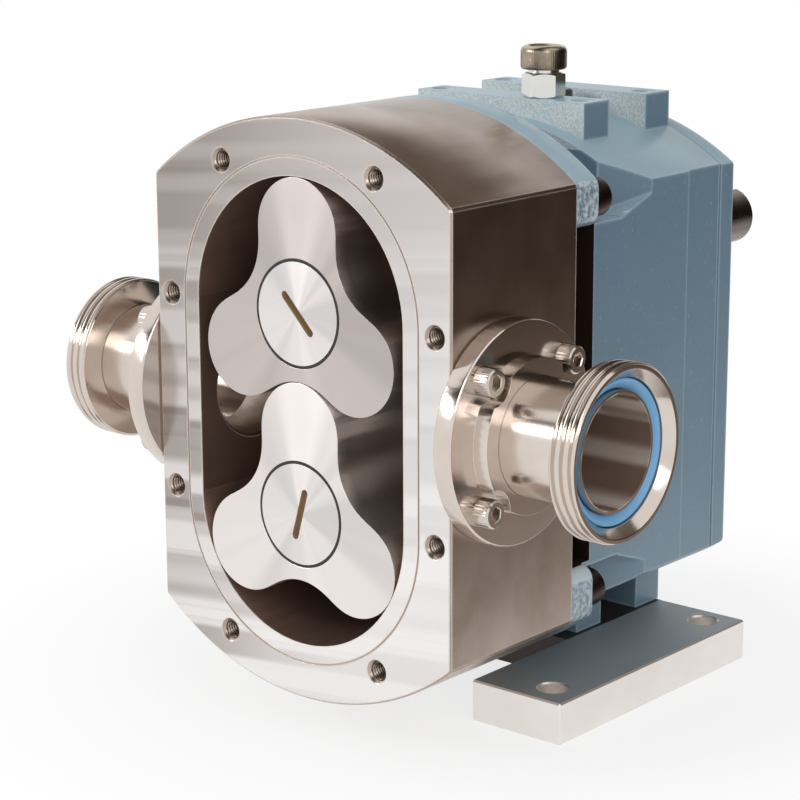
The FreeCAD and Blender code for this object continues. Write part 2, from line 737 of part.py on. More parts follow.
# Four socket screws hold each port fitting.
screws = []
for side, sign in (("right", 1), ("left", -1)):
    for index, (across, up) in enumerate(port_screw_places):
        seat = (disc_front * sign, port_setback + across, up)
        screws.append(fastener("port_screw_" + side + str(index + 1), port_screw_head, port_screw_diameter,
                               port_screw_diameter, port_screw_reach, seat, (sign, 0, 0)))
place(joined("port_screws", screws))

# The gearbox: a flange like the case's outline, a lower neck behind it, then the arched body.
gearbox = arched_block("gearbox_body", "gearbox_flange", case_side, case_corner, case_arc_radius,
                       case_arc_centre, case_depth, flange_thickness)
neck_length = body_top_front - flange_rear
drawing = sketch(gearbox, "XZ_Plane", "neck_outline", -flange_rear)
neck_side = neck_side_height / 2
neck_top = neck_top_height / 2
neck_half = body_side - neck_inset
draw_outline(drawing, [(body_side, -neck_side), (body_side, neck_side), (neck_half + neck_slope, neck_side),
                       (neck_half, neck_top), (-neck_half, neck_top), (-neck_half - neck_slope, neck_side),
                       (-body_side, neck_side), (-body_side, -neck_side),
                       (-neck_half - neck_slope, -neck_side), (-neck_half, -neck_top),
                       (neck_half, -neck_top), (neck_half + neck_slope, -neck_side)])
pad(gearbox, drawing, "gearbox_neck", neck_length, True)
arched_block(gearbox, "gearbox_main", body_side, body_corner, body_arc_radius, body_arc_centre,
             body_top_front, body_rear - body_top_front)
for name, front in (("front_bars", front_bar), ("rear_bars", rear_bar)):
    drawing = sketch(gearbox, "XZ_Plane", name + "_outline", -front)
    draw_rectangle(drawing, -bar_half_length, bar_half_length, -bar_height, bar_height)
    pad(gearbox, drawing, name, bar_width, True)
# Tool pockets at the four corners, behind the bolts that hold the case.
notch_rear = body_top_front + notch_reach
for index, (a, b) in enumerate(four_corners):
    first = sketch(gearbox, "XZ_Plane", "notch_mouth" + str(index + 1), -(body_top_front - 1))
    wall = body_side - notch_mouth_depth
    outside = case_side + notch_rise
    over = body_corner + body_arc_radius / 4
    draw_rectangle(first, wall * a, outside * a, neck_side * b, over * b)
    last = sketch(gearbox, "XZ_Plane", "notch_end" + str(index + 1), -notch_rear)
    draw_rectangle(last, (body_side + notch_end_depth) * a, outside * a, (neck_side + notch_rise) * b,
                   over * b)
    before = volume_of(gearbox)
    lofted = gearbox.newObject("PartDesign::SubtractiveLoft", "notch" + str(index + 1))
    lofted.Profile = first
    lofted.Sections = [last]
    lofted.Ruled = True
    check_cut(gearbox, lofted, before)
for name, sign in (("window_right", 1), ("window_left", -1)):
    drawing = sketch(gearbox, "YZ_Plane", name + "_outline", (case_side + 1) * sign)
    draw_rectangle(drawing, case_depth - 1, body_front, window_low, neck_side)
    pocket(gearbox, drawing, name, window_depth + 1, sign < 0)
    drawing = sketch(gearbox, "YZ_Plane", name + "_panel", (body_side + 1) * sign)
    draw_rectangle(drawing, side_panel_front, body_rear + 1, -bar_height, bar_height)
    pocket(gearbox, drawing, name + "_panel_cut", side_panel_depth + 1, sign < 0)
lug_middle = ((case_depth + flange_rear) / 2).number
lug_heights = [window_low.number, neck_side.number, case_corner.number, -case_corner.number]
lug_edges = edges_where(gearbox, lambda p, e: abs(abs(p.x) - case_side.number) < 0.01
                        and abs(p.y - lug_middle) < 0.01 and min(abs(p.z - h) for h in lug_heights) < 0.01)
dress(gearbox, "Fillet", "lug_rounding", lug_edges, lug_rounding)


def obround_cut(owner, name, front, length, radius):
    drawing = sketch(owner, "XZ_Plane", name + "_outline", -front)
    draw_obround(drawing, 0, -spacing_half, spacing_half, radius)
    return pocket(owner, drawing, name, length)


def shaft_bores(owner, name, front, length, radius):
    drawing = sketch(owner, "XZ_Plane", name + "_outline", -front)
    for sign in (1, -1):
        draw_circle(drawing, 0, spacing_half * sign, radius)
    return pocket(owner, drawing, name, length)


obround_cut(gearbox, "lantern_space", case_depth, body_front - case_depth, lantern_radius)
obround_cut(gearbox, "oil_space", oil_space_front, oil_space_rear - oil_space_front, gear_space_radius)
obround_cut(gearbox, "gear_space", gear_space_front, body_rear - gear_space_front, gear_space_radius)
shaft_bores(gearbox, "lip_seal_bores", body_front, lip_seal_width, lip_seal_outer / 2 + fit_gap)
shaft_bores(gearbox, "front_bearing_bores", front_bearing_front, bearing_width, bearing_outer / 2 + fit_gap)
shaft_bores(gearbox, "middle_ways", oil_space_rear, rear_bearing_front - oil_space_rear,
            bearing_outer / 2 - bearing_shoulder)
shaft_bores(gearbox, "rear_bearing_bores", rear_bearing_front, bearing_width, bearing_outer / 2 + fit_gap)
drawing = sketch(gearbox, "XZ_Plane", "oil_passage_outline", -oil_space_rear)
for sign in (1, -1):
    draw_circle(drawing, (gear_space_radius - oil_passage_inset) * sign, 0, oil_passage_radius)
pocket(gearbox, drawing, "oil_passages", gear_space_front - oil_space_rear)
hole_set(gearbox, "XZ_Plane", "flange_bolt_holes", -case_depth, case_bolt_places,
         case_bolt_diameter + hole_clearance * 2, flange_thickness + 1)
hole_set(gearbox, "XZ_Plane", "flange_dowel_holes", -case_depth, dowel_places, dowel_hole,
         dowel_length / 2 + hole_clearance)
bar_hole_places = [(bar_hole_offset * a, (front_bar if b < 0 else rear_bar) + bar_width / 2)
                   for a, b in four_corners]
hole_set(gearbox, "XY_Plane", "bar_holes", bar_height, bar_hole_places, bar_hole_core, bar_hole_depth,
         bar_hole_rim)
hole_set(gearbox, "XY_Plane", "leg_holes", -bar_height, bar_hole_places, base_screw_diameter + fit_gap * 2,
         base_screw_reach + 1, None, True)
oil_way_depth = bar_height - spacing_half - gear_space_radius + oil_way_overrun
hole_set(gearbox, "XY_Plane", "breather_hole", bar_height, [(breather_across, front_bar + bar_width / 2)],
         breather_thread + fit_gap * 2, oil_way_depth)
hole_set(gearbox, "XY_Plane", "filler_hole", bar_height, [(filler_plug_across, filler_plug_back)],
         breather_thread + fit_gap * 2, oil_way_depth)
filler_seat = body_arc_centre + body_arc_radius - filler_seat_depth
drawing = sketch(gearbox, "XY_Plane", "filler_seat_outline", bar_height)
draw_circle(drawing, filler_plug_across, filler_plug_back, filler_plug_diameter / 2 + 1)
pocket(gearbox, drawing, "filler_seat", bar_height - filler_seat)
cover_bolt_places = [(cover_bolt_across * a, cover_bolt_up * b) for a in (-1, 1) for b in (-1, 0, 1)]
cover_bolt_places += [(cover_bolt_top_across * a, cover_bolt_top * b) for a, b in four_corners]
hole_set(gearbox, "XZ_Plane", "cover_bolt_holes", -body_rear, cover_bolt_places,
         cover_bolt_diameter + fit_gap * 2, cover_bolt_reach + 1, None, True)
hole_set(gearbox, "YZ_Plane", "glass_recess", -body_side, [(glass_back, glass_up)],
         glass_diameter + fit_gap * 2, glass_thickness, None, True)
hole_set(gearbox, "YZ_Plane", "glass_window", -body_side, [(glass_back, glass_up)],
         glass_diameter - glass_ledge * 2, body_side - gear_space_radius + 1, None, True)
place(gearbox)

# Rear cover with its gasket, its screws and the seal of the drive shaft.
cover = arched_block("rear_cover", "cover_plate", body_side, body_corner, body_arc_radius,
                     body_arc_centre, cover_front, cover_thickness)
cover_middle = (cover_front + cover_thickness / 2).number
corner_edges = edges_where(cover, lambda p, e: abs(p.y - cover_middle) < 0.01)
dress(cover, "Fillet", "cover_corners", corner_edges, cover_corner_rounding)
rear_edges = edges_where(cover, lambda p, e: p.y > cover_rear.number - 0.01)
dress(cover, "Fillet", "cover_rounding", rear_edges, cover_rounding)
drawing = sketch(cover, "XZ_Plane", "seal_bore_outline", -cover_front)
draw_circle(drawing, 0, spacing_half, lip_seal_outer / 2 + fit_gap)
pocket(cover, drawing, "seal_bore", lip_seal_width)
drawing = sketch(cover, "XZ_Plane", "shaft_way_outline", -cover_front)
draw_circle(drawing, 0, spacing_half, rear_journal_diameter / 2 + 1)
pocket(cover, drawing, "cover_shaft_way", cover_thickness + 1)
hole_set(cover, "XZ_Plane", "cover_bolt_ways", -cover_front, cover_bolt_places,
         cover_bolt_diameter + hole_clearance * 2, cover_thickness + 1)
drain_drop = gear_space_radius + spacing_half - drain_diameter
hole_set(cover, "XZ_Plane", "drain_hole", -cover_front, [(plain(0), -drain_drop)],
         drain_diameter + fit_gap * 2, cover_thickness + 1)
place(cover)

gasket = arched_block("cover_gasket", "gasket_sheet", body_side - 1, body_corner - 1, body_arc_radius,
                      body_arc_centre - 1, body_rear, cover_gasket)
obround_cut(gasket, "gasket_opening", body_rear, cover_gasket + 1, gear_space_radius)
hole_set(gasket, "XZ_Plane", "gasket_holes", -body_rear, cover_bolt_places,
         cover_bolt_diameter + hole_clearance * 2, cover_gasket + 1)
place(gasket)

screws = []
for index, (across, up) in enumerate(cover_bolt_places):
    seat = (plain(across), cover_rear, plain(up))
    reach = cover_bolt_reach + cover_thickness + cover_gasket
    screws.append(fastener("cover_screw_" + str(index + 1), cover_bolt_head, cover_bolt_head_height,
                           cover_bolt_diameter, reach, seat, (0, 1, 0), True))
place(joined("cover_screws", screws))

screws = []
for index, (across, up) in enumerate(case_bolt_places):
    seat = (across, flange_rear, up)
    screws.append(fastener("case_bolt_" + str(index + 1), case_bolt_head, case_bolt_diameter,
                           case_bolt_diameter, case_bolt_reach + flange_thickness, seat, (0, 1, 0)))
place(joined("case_bolts", screws))

pins = []
for index, (across, up) in enumerate(dowel_places):
    base = (plain(across), case_depth - dowel_length / 2, plain(up))
    pins.append(cylinder("dowel_" + str(index + 1), dowel_diameter / 2, dowel_length, base, (0, 1, 0)))
place(joined("case_dowels", pins))

drain = fastener("drain_plug_shape", drain_head, cover_bolt_head_height, drain_diameter, cover_thickness,
                 (plain(0), cover_rear, -drain_drop), (0, 1, 0), True)
drain.Label = "drain_plug"
place(drain)

# Outer races of the four bearings.
races = []
race_inner = bearing_outer / 2 - outer_race_wall
for sign in (1, -1):
    for index, front in enumerate((front_bearing_front, rear_bearing_front)):
        name = ("upper" if sign > 0 else "lower") + "_outer_race_" + str(index + 1)
        races.append(tube_solid(name, bearing_outer / 2, race_inner, bearing_width,
                                (plain(0), front, spacing_half * sign), (0, 1, 0)))
place(joined("bearing_outer_races", races))

# Oil seals round both shafts ahead of the front bearings, and one in the rear cover.
seals = []
for name, sign in (("upper_lip_seal", 1), ("lower_lip_seal", -1)):
    seals.append(tube_solid(name, lip_seal_outer / 2, seal_journal_diameter / 2 + running_gap,
                            lip_seal_width, (plain(0), body_front, spacing_half * sign), (0, 1, 0)))
place(joined("front_lip_seals", seals))
box_ring("rear_lip_seal", rear_journal_diameter / 2 + running_gap, lip_seal_outer / 2, cover_front,
         cover_front + lip_seal_width, spacing_half)

# The still halves of the rotor seals, let into the back wall of the case.
seats = []
for name, sign in (("upper_seat", 1), ("lower_seat", -1)):
    seats.append(tube_solid(name, seal_seat_outer / 2, shaft_hole_radius, seal_seat_thickness,
                            (plain(0), chamber_depth, spacing_half * sign), (0, 1, 0)))
place(joined("seal_seats", seats))


def block(name, across, back, up):
    made = doc.addObject("Part::Box", name)
    bind(made, "Length", across)
    bind(made, "Width", back)
    bind(made, "Height", up)
    return made


# Feet: a thick plate under each side with two floor holes, and a plate across under the legs.
def foot_plate(label, sign):
    made = body(label)
    drawing = sketch(made, "XY_Plane", label + "_outline", -base_drop)
    outer = foot_inner + foot_width
    draw_rectangle(drawing, foot_inner * sign, outer * sign, foot_front, foot_rear)
    pad(made, drawing, label + "_plate", foot_thickness)
    inner_edge = foot_inner.number
    edges = edges_where(made, lambda p, e: abs(abs(p.x) - inner_edge) > 0.01)
    dress(made, "Chamfer", label + "_edges", edges, foot_edge_chamfer)
    across = (outer - floor_hole_inset) * sign
    places = [(across, floor_hole_front), (across, floor_hole_rear)]
    hole_set(made, "XY_Plane", label + "_holes", -bar_height, places, floor_hole_diameter,
             foot_thickness + 1, floor_hole_rim)
    place(made)
    return made


foot_plate("foot_plate_right", 1)
foot_plate("foot_plate_left", -1)
cross_plate = body("cross_plate")
drawing = sketch(cross_plate, "XY_Plane", "cross_plate_outline", -base_drop)
draw_rectangle(drawing, -foot_inner, foot_inner, cross_plate_front, foot_rear)
pad(cross_plate, drawing, "cross_plate_block", foot_thickness)
hole_set(cross_plate, "XY_Plane", "leg_screw_ways", -bar_height, bar_hole_places,
         base_screw_diameter + hole_clearance * 2, foot_thickness + 1)
drawing = sketch(cross_plate, "XY_Plane", "leg_screw_seat_outline", -base_drop)
for across, back in bar_hole_places:
    draw_circle(drawing, across, back, base_screw_head / 2 + 1)
screw_seat_depth = base_screw_diameter + hole_clearance
pocket(cross_plate, drawing, "leg_screw_seats", screw_seat_depth, True)
place(cross_plate)
screws = []
for index, (across, back) in enumerate(bar_hole_places):
    seat = (across, back, screw_seat_depth - base_drop)
    reach = foot_thickness - screw_seat_depth + base_screw_reach
    screws.append(fastener("leg_screw_" + str(index + 1), base_screw_head, base_screw_diameter,
                           base_screw_diameter, reach, seat, (0, 0, -1)))
place(joined("base_screws", screws))

# Breather on the front bar, filler plug on the arch and an oil glass in the left side.
breather_back = front_bar + bar_width / 2
cap_seat_height = breather_hex_height + breather_neck_height
pin_height = breather_cap_height / 2
hexagon = fastener("breather_foot", breather_hex, breather_hex_height, breather_thread,
                   breather_thread_length, (breather_across, breather_back, bar_height), (0, 0, 1), True)
neck = cylinder("breather_neck", breather_neck_diameter / 2, cap_seat_height,
                (breather_across, breather_back, bar_height), (0, 0, 1))
pin = cylinder("breather_pin", breather_neck_diameter / 4, cap_seat_height + pin_height,
               (breather_across, breather_back, bar_height), (0, 0, 1))
place(joined("breather_body", [hexagon, neck, pin]))
cap = doc.addObject("Part::Cut", "breather_cap")
cap.Base = cylinder("breather_cap_round", breather_cap_diameter / 2, breather_cap_height,
                    (breather_across, breather_back, bar_height + cap_seat_height), (0, 0, 1))
cap.Tool = cylinder("breather_cap_hole", breather_neck_diameter / 4 + fit_gap, pin_height,
                    (breather_across, breather_back, bar_height + cap_seat_height), (0, 0, 1))
place(cap)
# The plug's thread ends in the wall above the gears.
filler_thread_length = body_corner - spacing_half - gear_space_radius + filler_thread_spare
filler = fastener("filler_plug", filler_plug_diameter, filler_plug_height, breather_thread,
                  filler_thread_length, (filler_plug_across, filler_plug_back, filler_seat), (0, 0, 1))
place(filler)
glass = cylinder("oil_glass", glass_diameter / 2, glass_thickness, (0, 0, 0), (0, 0, 1))
place(glass, -body_side, glass_back, glass_up, (0, 1, 0), 90)


# The two rotors roll on each other like a pair of pitch circles. Each lobe tip is a round arc and
# each root is the path that the other rotor's tip sweeps out, so the two stay one mesh gap apart.
def rotor_outline(spacing, radius, gap):
    pitch = spacing / 2
    tip_centre = (radius ** 2 - pitch ** 2) / (2 * (radius - pitch * math.cos(math.radians(30))))
    tip_radius = radius - tip_centre
    edges = []
    for lobe in (90, 210, 330):
        turn = math.radians(lobe)
        centre = FreeCAD.Vector(tip_centre * math.cos(turn), 0, tip_centre * math.sin(turn))
        ends = []
        for side in (-30, 30):
            angle = math.radians(lobe + side)
            meeting = FreeCAD.Vector(pitch * math.cos(angle), 0, pitch * math.sin(angle))
            ends.append(centre + (meeting - centre) * ((tip_radius - gap) / tip_radius))
        crest = centre * ((tip_centre + tip_radius - gap) / tip_centre)
        edges.append(Part.Arc(ends[0], crest, ends[1]).toShape())
        points = []
        steps = 10
        for index in range(steps + 1):
            angle = math.radians(-30 + 60 * index / steps)
            x = tip_centre * math.cos(2 * angle) - spacing * math.cos(angle)
            z = tip_centre * math.sin(2 * angle) - spacing * math.sin(angle)
            slope_x = spacing * math.sin(angle) - 2 * tip_centre * math.sin(2 * angle)
            slope_z = 2 * tip_centre * math.cos(2 * angle) - spacing * math.cos(angle)
            reach = (tip_radius + gap) / math.hypot(slope_x, slope_z)
            x -= slope_z * reach
            z += slope_x * reach
            swing = math.radians(lobe + 60 - 180)
            points.append(FreeCAD.Vector(x * math.cos(swing) - z * math.sin(swing), 0,
                                         x * math.sin(swing) + z * math.cos(swing)))
        points[0] = ends[1]
        root = Part.BSplineCurve()
        root.interpolate(points)
        edges.append(root.toShape())
    return edges


def closed_face(edges):
    return Part.Face(Part.Wire(Part.__sortEdges__(edges)))


def round_tool(radius, front, rear):
    return Part.makeCylinder(number_of(radius), number_of(rear) - number_of(front),
                             FreeCAD.Vector(0, number_of(front), 0), FreeCAD.Vector(0, 1, 0))


def slot_tool(width, front, rear, high):
    return Part.makeBox(number_of(width), number_of(rear) - number_of(front), number_of(high),
                        FreeCAD.Vector(-number_of(width) / 2, number_of(front), 0))


rotor_front = rotor_end_gap
rotor_rear = chamber_depth - rotor_end_gap
nut_rear = rotor_front + nut_thickness
rotor_tip = chamber_radius - rotor_radial_gap
rotor_bore = rotor_seat_diameter / 2 + fit_gap
rotor_key_top = rotor_seat_diameter / 2 + rotor_key_rise
rotor_key_front = rotor_seat_rear - rotor_key_length - rotor_key_setback


def rotor(label, up):
    outline = rotor_outline(shaft_spacing.number, rotor_tip.number, rotor_mesh_gap.number)
    face = closed_face(outline)
    shape = face.extrude(FreeCAD.Vector(0, (rotor_rear - rotor_front).number, 0))
    shape.translate(FreeCAD.Vector(0, rotor_front.number, 0))
    shape = shape.cut(round_tool(nut_diameter / 2 + nut_ring_width, rotor_front - 1, nut_rear))
    shape = shape.cut(round_tool(rotor_bore, nut_rear - 1, rotor_seat_rear + 1))
    shape = shape.cut(round_tool(face_seal_outer / 2 + fit_gap, rotor_seat_rear, rotor_rear + 1))
    shape = shape.cut(slot_tool(rotor_key_width + fit_gap, rotor_key_front, rotor_seat_rear + 1,
                                rotor_key_top + fit_gap))
    made = doc.addObject("Part::Feature", label)
    made.Shape = shape
    place(made, 0, 0, up)
    return made


# Spur gears with the rotors' spacing as their pitch diameter. A tooth of each points down.
def gear_outline(pitch, teeth, slack, slant, dedendum):
    module = 2 * pitch / teeth
    pressure = math.radians(slant)
    base = pitch * math.cos(pressure)
    tip = pitch + module
    root = pitch - dedendum * module
    half = (math.pi * module / 2 - slack / 2) / (2 * pitch)
    involute = math.tan(pressure) - pressure

    def flank(radius):
        lean = math.acos(min(1, base / radius))
        return half + involute - (math.tan(lean) - lean)

    def at(radius, angle):
        return FreeCAD.Vector(radius * math.cos(angle), 0, radius * math.sin(angle))

    radii = (base, (base + tip) / 2, tip)
    edges = []
    for index in range(int(teeth)):
        middle = math.radians(-90 + 360 * index / teeth)
        after = middle + 2 * math.pi / teeth
        rising = [at(r, middle - flank(r)) for r in radii]
        falling = [at(r, middle + flank(r)) for r in reversed(radii)]
        edges.append(Part.Arc(*rising).toShape())
        edges.append(Part.Arc(*falling).toShape())
        edges.append(Part.makeLine(at(root, middle - flank(base)), rising[0]))
        edges.append(Part.makeLine(falling[-1], at(root, middle + flank(base))))
        edges.append(Part.Arc(rising[-1], at(tip, middle), falling[0]).toShape())
        valley = (middle + after) / 2
        edges.append(Part.Arc(at(root, middle + flank(base)), at(root, valley),
                              at(root, after - flank(base))).toShape())
    return edges


inner_race_outer = seal_journal_diameter / 2 + fit_gap + inner_race_wall
gear_front = gear_space_front + gear_hub_length
gear_rear = gear_front + gear_width
driven_shaft_end = gear_rear + locknut_width + driven_shaft_overrun
gear_key_top = gear_seat_diameter / 2 + gear_key_rise
gear_key_front = gear_front + (gear_width - gear_key_length) / 2


def gear(label, up):
    face = closed_face(gear_outline(spacing_half.number, gear_teeth.number, gear_backlash.number,
                                    gear_pressure_angle.number, gear_root_depth.number))
    shape = face.extrude(FreeCAD.Vector(0, gear_width.number, 0))
    shape.translate(FreeCAD.Vector(0, gear_front.number, 0))
    shape = shape.fuse(round_tool(inner_race_outer, gear_space_front, gear_rear - 1))
    shape = shape.cut(round_tool(gear_seat_diameter / 2 + fit_gap, gear_space_front - 1, gear_rear + 1))
    shape = shape.cut(slot_tool(gear_key_width + fit_gap, gear_space_front - 1, gear_rear + 1,
                                gear_key_top + fit_gap))
    made = doc.addObject("Part::Feature", label)
    made.Shape = shape
    place(made, 0, 0, up)
    return made


def shaft(label, up, rear_steps):
    stub_front = rotor_front + nut_face_thickness + hole_clearance
    points = [(plain(0), stub_front), (nut_thread_diameter / 2, stub_front),
              (nut_thread_diameter / 2, nut_thread_rear), (rotor_seat_diameter / 2, nut_thread_rear),
              (rotor_seat_diameter / 2, rotor_seat_rear), (seal_journal_diameter / 2, rotor_seat_rear),
              (seal_journal_diameter / 2, oil_space_front), (shaft_middle_diameter / 2, oil_space_front),
              (shaft_middle_diameter / 2, rear_bearing_front),
              (seal_journal_diameter / 2, rear_bearing_front),
              (seal_journal_diameter / 2, gear_space_front), (gear_seat_diameter / 2, gear_space_front),
              (gear_seat_diameter / 2, gear_rear), (rear_journal_diameter / 2, gear_rear)]
    made = turned(label, points + rear_steps, up)
    for name, radius, width, front, length, depth in (
            ("rotor_keyway", rotor_seat_diameter / 2, rotor_key_width, rotor_key_front, rotor_key_length,
             rotor_key_height - rotor_key_rise + fit_gap),
            ("gear_keyway", gear_seat_diameter / 2, gear_key_width, gear_key_front, gear_key_length,
             gear_key_height - gear_key_rise + fit_gap)):
        drawing = sketch(made, "XY_Plane", label + "_" + name, radius)
        half = width / 2 + fit_gap / 2
        draw_rectangle(drawing, -half, half, front - fit_gap / 2, front + length + fit_gap / 2)
        pocket(made, drawing, label + "_" + name + "_cut", depth)
    return made


def rotor_nut(label, up, slot_angle):
    disc = nut_diameter / 2
    stem = rotor_seat_diameter / 2
    thread = nut_thread_diameter / 2 + fit_gap
    bore_front = rotor_front + nut_face_thickness
    made = turned(label, [(plain(0), rotor_front), (disc, rotor_front), (disc, nut_rear), (stem, nut_rear),
                          (stem, nut_rear + nut_stem_length), (thread, nut_rear + nut_stem_length),
                          (thread, bore_front), (plain(0), bore_front)], up)
    drawing = sketch(made, "XZ_Plane", label + "_slot", -rotor_front)
    straight = nut_slot_length - nut_slot_width
    draw_slot(drawing, straight, nut_slot_width, slot_angle)
    pocket(made, drawing, label + "_slot_cut", nut_slot_depth)
    drawing = sketch(made, "XZ_Plane", label + "_slot_ends", -rotor_front)
    for sign in (1, -1):
        draw_circle(drawing, straight * cosine_of(slot_angle) * sign / 2,
                    straight * sine_of(slot_angle) * sign / 2, nut_slot_width / 2)
    pocket(made, drawing, label + "_slot_end_cuts", nut_slot_depth)
    return made


def draw_slot(drawing, length, width, angle):
    # The straight part of a slot through the middle, turned by an angle.
    along = (length * cosine_of(angle) / 2, length * sine_of(angle) / 2)
    aside = (width * sine_of(angle) / -2, width * cosine_of(angle) / 2)
    corners = [(along[0] * a + aside[0] * b, along[1] * a + aside[1] * b) for a, b in four_corners]
    draw_outline(drawing, corners)


def locknut(label, up):
    inner = rear_journal_diameter / 2 + fit_gap
    outer = locknut_diameter / 2
    made = box_ring(label, inner, outer, gear_rear, gear_rear + locknut_width, up)
    drawing = sketch(made, "XZ_Plane", label + "_slots", -gear_rear)
    half = locknut_slot_width / 2
    low = outer - locknut_slot_depth
    for sign in (1, -1):
        draw_rectangle(drawing, -half, half, low * sign, (outer + 2) * sign)
        draw_rectangle(drawing, low * sign, (outer + 2) * sign, -half, half)
    pocket(made, drawing, label + "_slot_cuts", locknut_width + 1)
    return made


roller_radius = (race_inner - inner_race_outer) / 2 - roller_gap
roller_circle = (race_inner + inner_race_outer) / 2


def roller_set(label, up, front):
    start = front + (bearing_width - roller_length) / 2
    cage = tube_solid(label + "_cage", roller_circle + cage_wall / 2, roller_circle - cage_wall / 2,
                      roller_length + 2, (plain(0), start - 1, plain(0)), (0, 1, 0))
    parts = [cage]
    for index in range(roller_count):
        angle = plain(360 * index / roller_count)
        base = (roller_circle * cosine_of(angle), start, roller_circle * sine_of(angle))
        parts.append(cylinder(label + "_roller" + str(index + 1), roller_radius, roller_length, base,
                              (0, 1, 0)))
    place(joined(label, parts), 0, 0, up)


drive_steps = [(rear_journal_diameter / 2, rear_journal_end), (shaft_end_diameter / 2, rear_journal_end),
               (shaft_end_diameter / 2, shaft_end_reach - shaft_end_chamfer),
               (shaft_end_diameter / 2 - shaft_end_chamfer, shaft_end_reach), (plain(0), shaft_end_reach)]
driven_steps = [(rear_journal_diameter / 2, driven_shaft_end), (plain(0), driven_shaft_end)]
for prefix, up, rear_steps, slot_angle in (("drive_", spacing_half, drive_steps, drive_slot_angle),
                                           ("driven_", -spacing_half, driven_steps, driven_slot_angle)):
    made = shaft(prefix + "shaft", up, rear_steps)
    if prefix == "drive_":
        drawing = sketch(made, "XY_Plane", "coupling_keyway", shaft_end_diameter / 2)
        draw_rectangle(drawing, -keyway_width / 2, keyway_width / 2, shaft_end_reach - keyway_length,
                       shaft_end_reach + 1)
        pocket(made, drawing, "coupling_keyway_cut", keyway_depth)
    rotor(prefix + "rotor", up)
    rotor_nut(prefix + "rotor_nut", up, slot_angle)
    ring_front = rotor_front + nut_ring_setback
    box_ring(prefix + "nut_ring", nut_diameter / 2 + nut_ring_gap,
             nut_diameter / 2 + nut_ring_width - nut_ring_gap, ring_front, ring_front + nut_ring_depth, up)
    box_ring(prefix + "face_seal", seal_journal_diameter / 2 + fit_gap, face_seal_outer / 2, rotor_seat_rear,
             chamber_depth - seal_face_gap, up)
    gear(prefix + "gear", up)
    locknut(prefix + "locknut", up)
    inner = seal_journal_diameter / 2 + fit_gap
    for place_name, front in (("front", front_bearing_front), ("rear", rear_bearing_front)):
        box_ring(prefix + place_name + "_inner_race", inner, inner_race_outer, front,
                 front + bearing_width, up)
        roller_set(prefix + place_name + "_rollers", up, front)
    place(block(prefix + "gear_key", gear_key_width, gear_key_length, gear_key_height),
          -gear_key_width / 2, gear_key_front, up + gear_key_top - gear_key_height)
    place(block(prefix + "rotor_key", rotor_key_width, rotor_key_length, rotor_key_height),
          -rotor_key_width / 2, rotor_key_front, up + rotor_key_top - rotor_key_height)

# Every object must have built, and every piece must be one or more sound solids, before any is written.
doc.recompute()
for thing in doc.Objects:
    if "Invalid" in thing.State or "Error" in thing.State:
        raise ValueError(thing.Name + " did not build")
for piece in pieces:
    if piece.Shape.isNull() or not piece.Shape.isValid() or not piece.Shape.Solids:
        raise ValueError(piece.Label + " is not sound")
os.makedirs("parts", exist_ok=True)
for piece in pieces:
    piece.Shape.exportStep("parts/" + piece.Label + ".step")
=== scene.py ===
import math
import bpy
import bmesh
from mathutils import Matrix, Vector


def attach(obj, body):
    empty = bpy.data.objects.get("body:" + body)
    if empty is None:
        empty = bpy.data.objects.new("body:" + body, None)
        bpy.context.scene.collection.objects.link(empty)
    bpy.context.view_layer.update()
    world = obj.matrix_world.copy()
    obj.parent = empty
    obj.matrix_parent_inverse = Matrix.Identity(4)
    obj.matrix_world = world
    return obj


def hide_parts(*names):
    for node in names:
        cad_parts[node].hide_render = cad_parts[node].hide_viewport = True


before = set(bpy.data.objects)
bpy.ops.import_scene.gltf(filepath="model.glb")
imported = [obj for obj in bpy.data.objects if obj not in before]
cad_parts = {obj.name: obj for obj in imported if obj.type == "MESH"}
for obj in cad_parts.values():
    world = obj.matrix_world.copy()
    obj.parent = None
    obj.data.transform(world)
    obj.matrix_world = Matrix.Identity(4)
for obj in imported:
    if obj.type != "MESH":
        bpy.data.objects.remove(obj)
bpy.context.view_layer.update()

scene = bpy.context.scene
MM = 0.001

# Places here are millimetres about the pump's own centre, as in the CAD source: the centre lies in the
# front face, midway between the shafts, 137 in front of the floor bolts and 149.2 above the floor.
CENTRE_BACK = 137.0
CENTRE_UP = 149.2
UPPER = 46.0
LOWER = -46.0
PORT_BACK = 37.5
BOTH = (-1, 1)
CORNERS = [(a, b) for a in BOTH for b in BOTH]


def at(x, y, z):
    return Vector((x, y - CENTRE_BACK, z + CENTRE_UP)) * MM


# Camera.
def place_camera():
    azimuth, elevation, roll = (math.radians(angle) for angle in (40.32, 13.66, -0.22))
    level = math.cos(elevation)
    back = Vector((math.sin(azimuth) * level, -math.cos(azimuth) * level, math.sin(elevation)))
    right = Vector((math.cos(azimuth), math.sin(azimuth), 0))
    up = back.cross(right)
    side = right * math.cos(roll) + up * math.sin(roll)
    top = up * math.cos(roll) - right * math.sin(roll)
    data = bpy.data.cameras.new("view")
    data.lens = 109.24
    data.sensor_width = 36
    data.clip_start = 0.05
    data.clip_end = 50
    camera = bpy.data.objects.new("view", data)
    scene.collection.objects.link(camera)
    turn = Matrix((side, top, back)).transposed().to_4x4()
    camera.matrix_world = Matrix.Translation(Vector((0.71285, -0.9070, 0.41085))) @ turn
    scene.camera = camera


place_camera()
scene.view_settings.view_transform = "Standard"


# Materials.
def linear(red, green, blue):
    # A shader colour from the three numbers, 0 to 255, that the picture shows.
    def one(value):
        value = value / 255
        return value / 12.92 if value <= 0.04045 else ((value + 0.055) / 1.055) ** 2.4
    return (one(red), one(green), one(blue), 1)


def darkened(colour, keep):
    return tuple(c * keep for c in colour[:3]) + (1,)


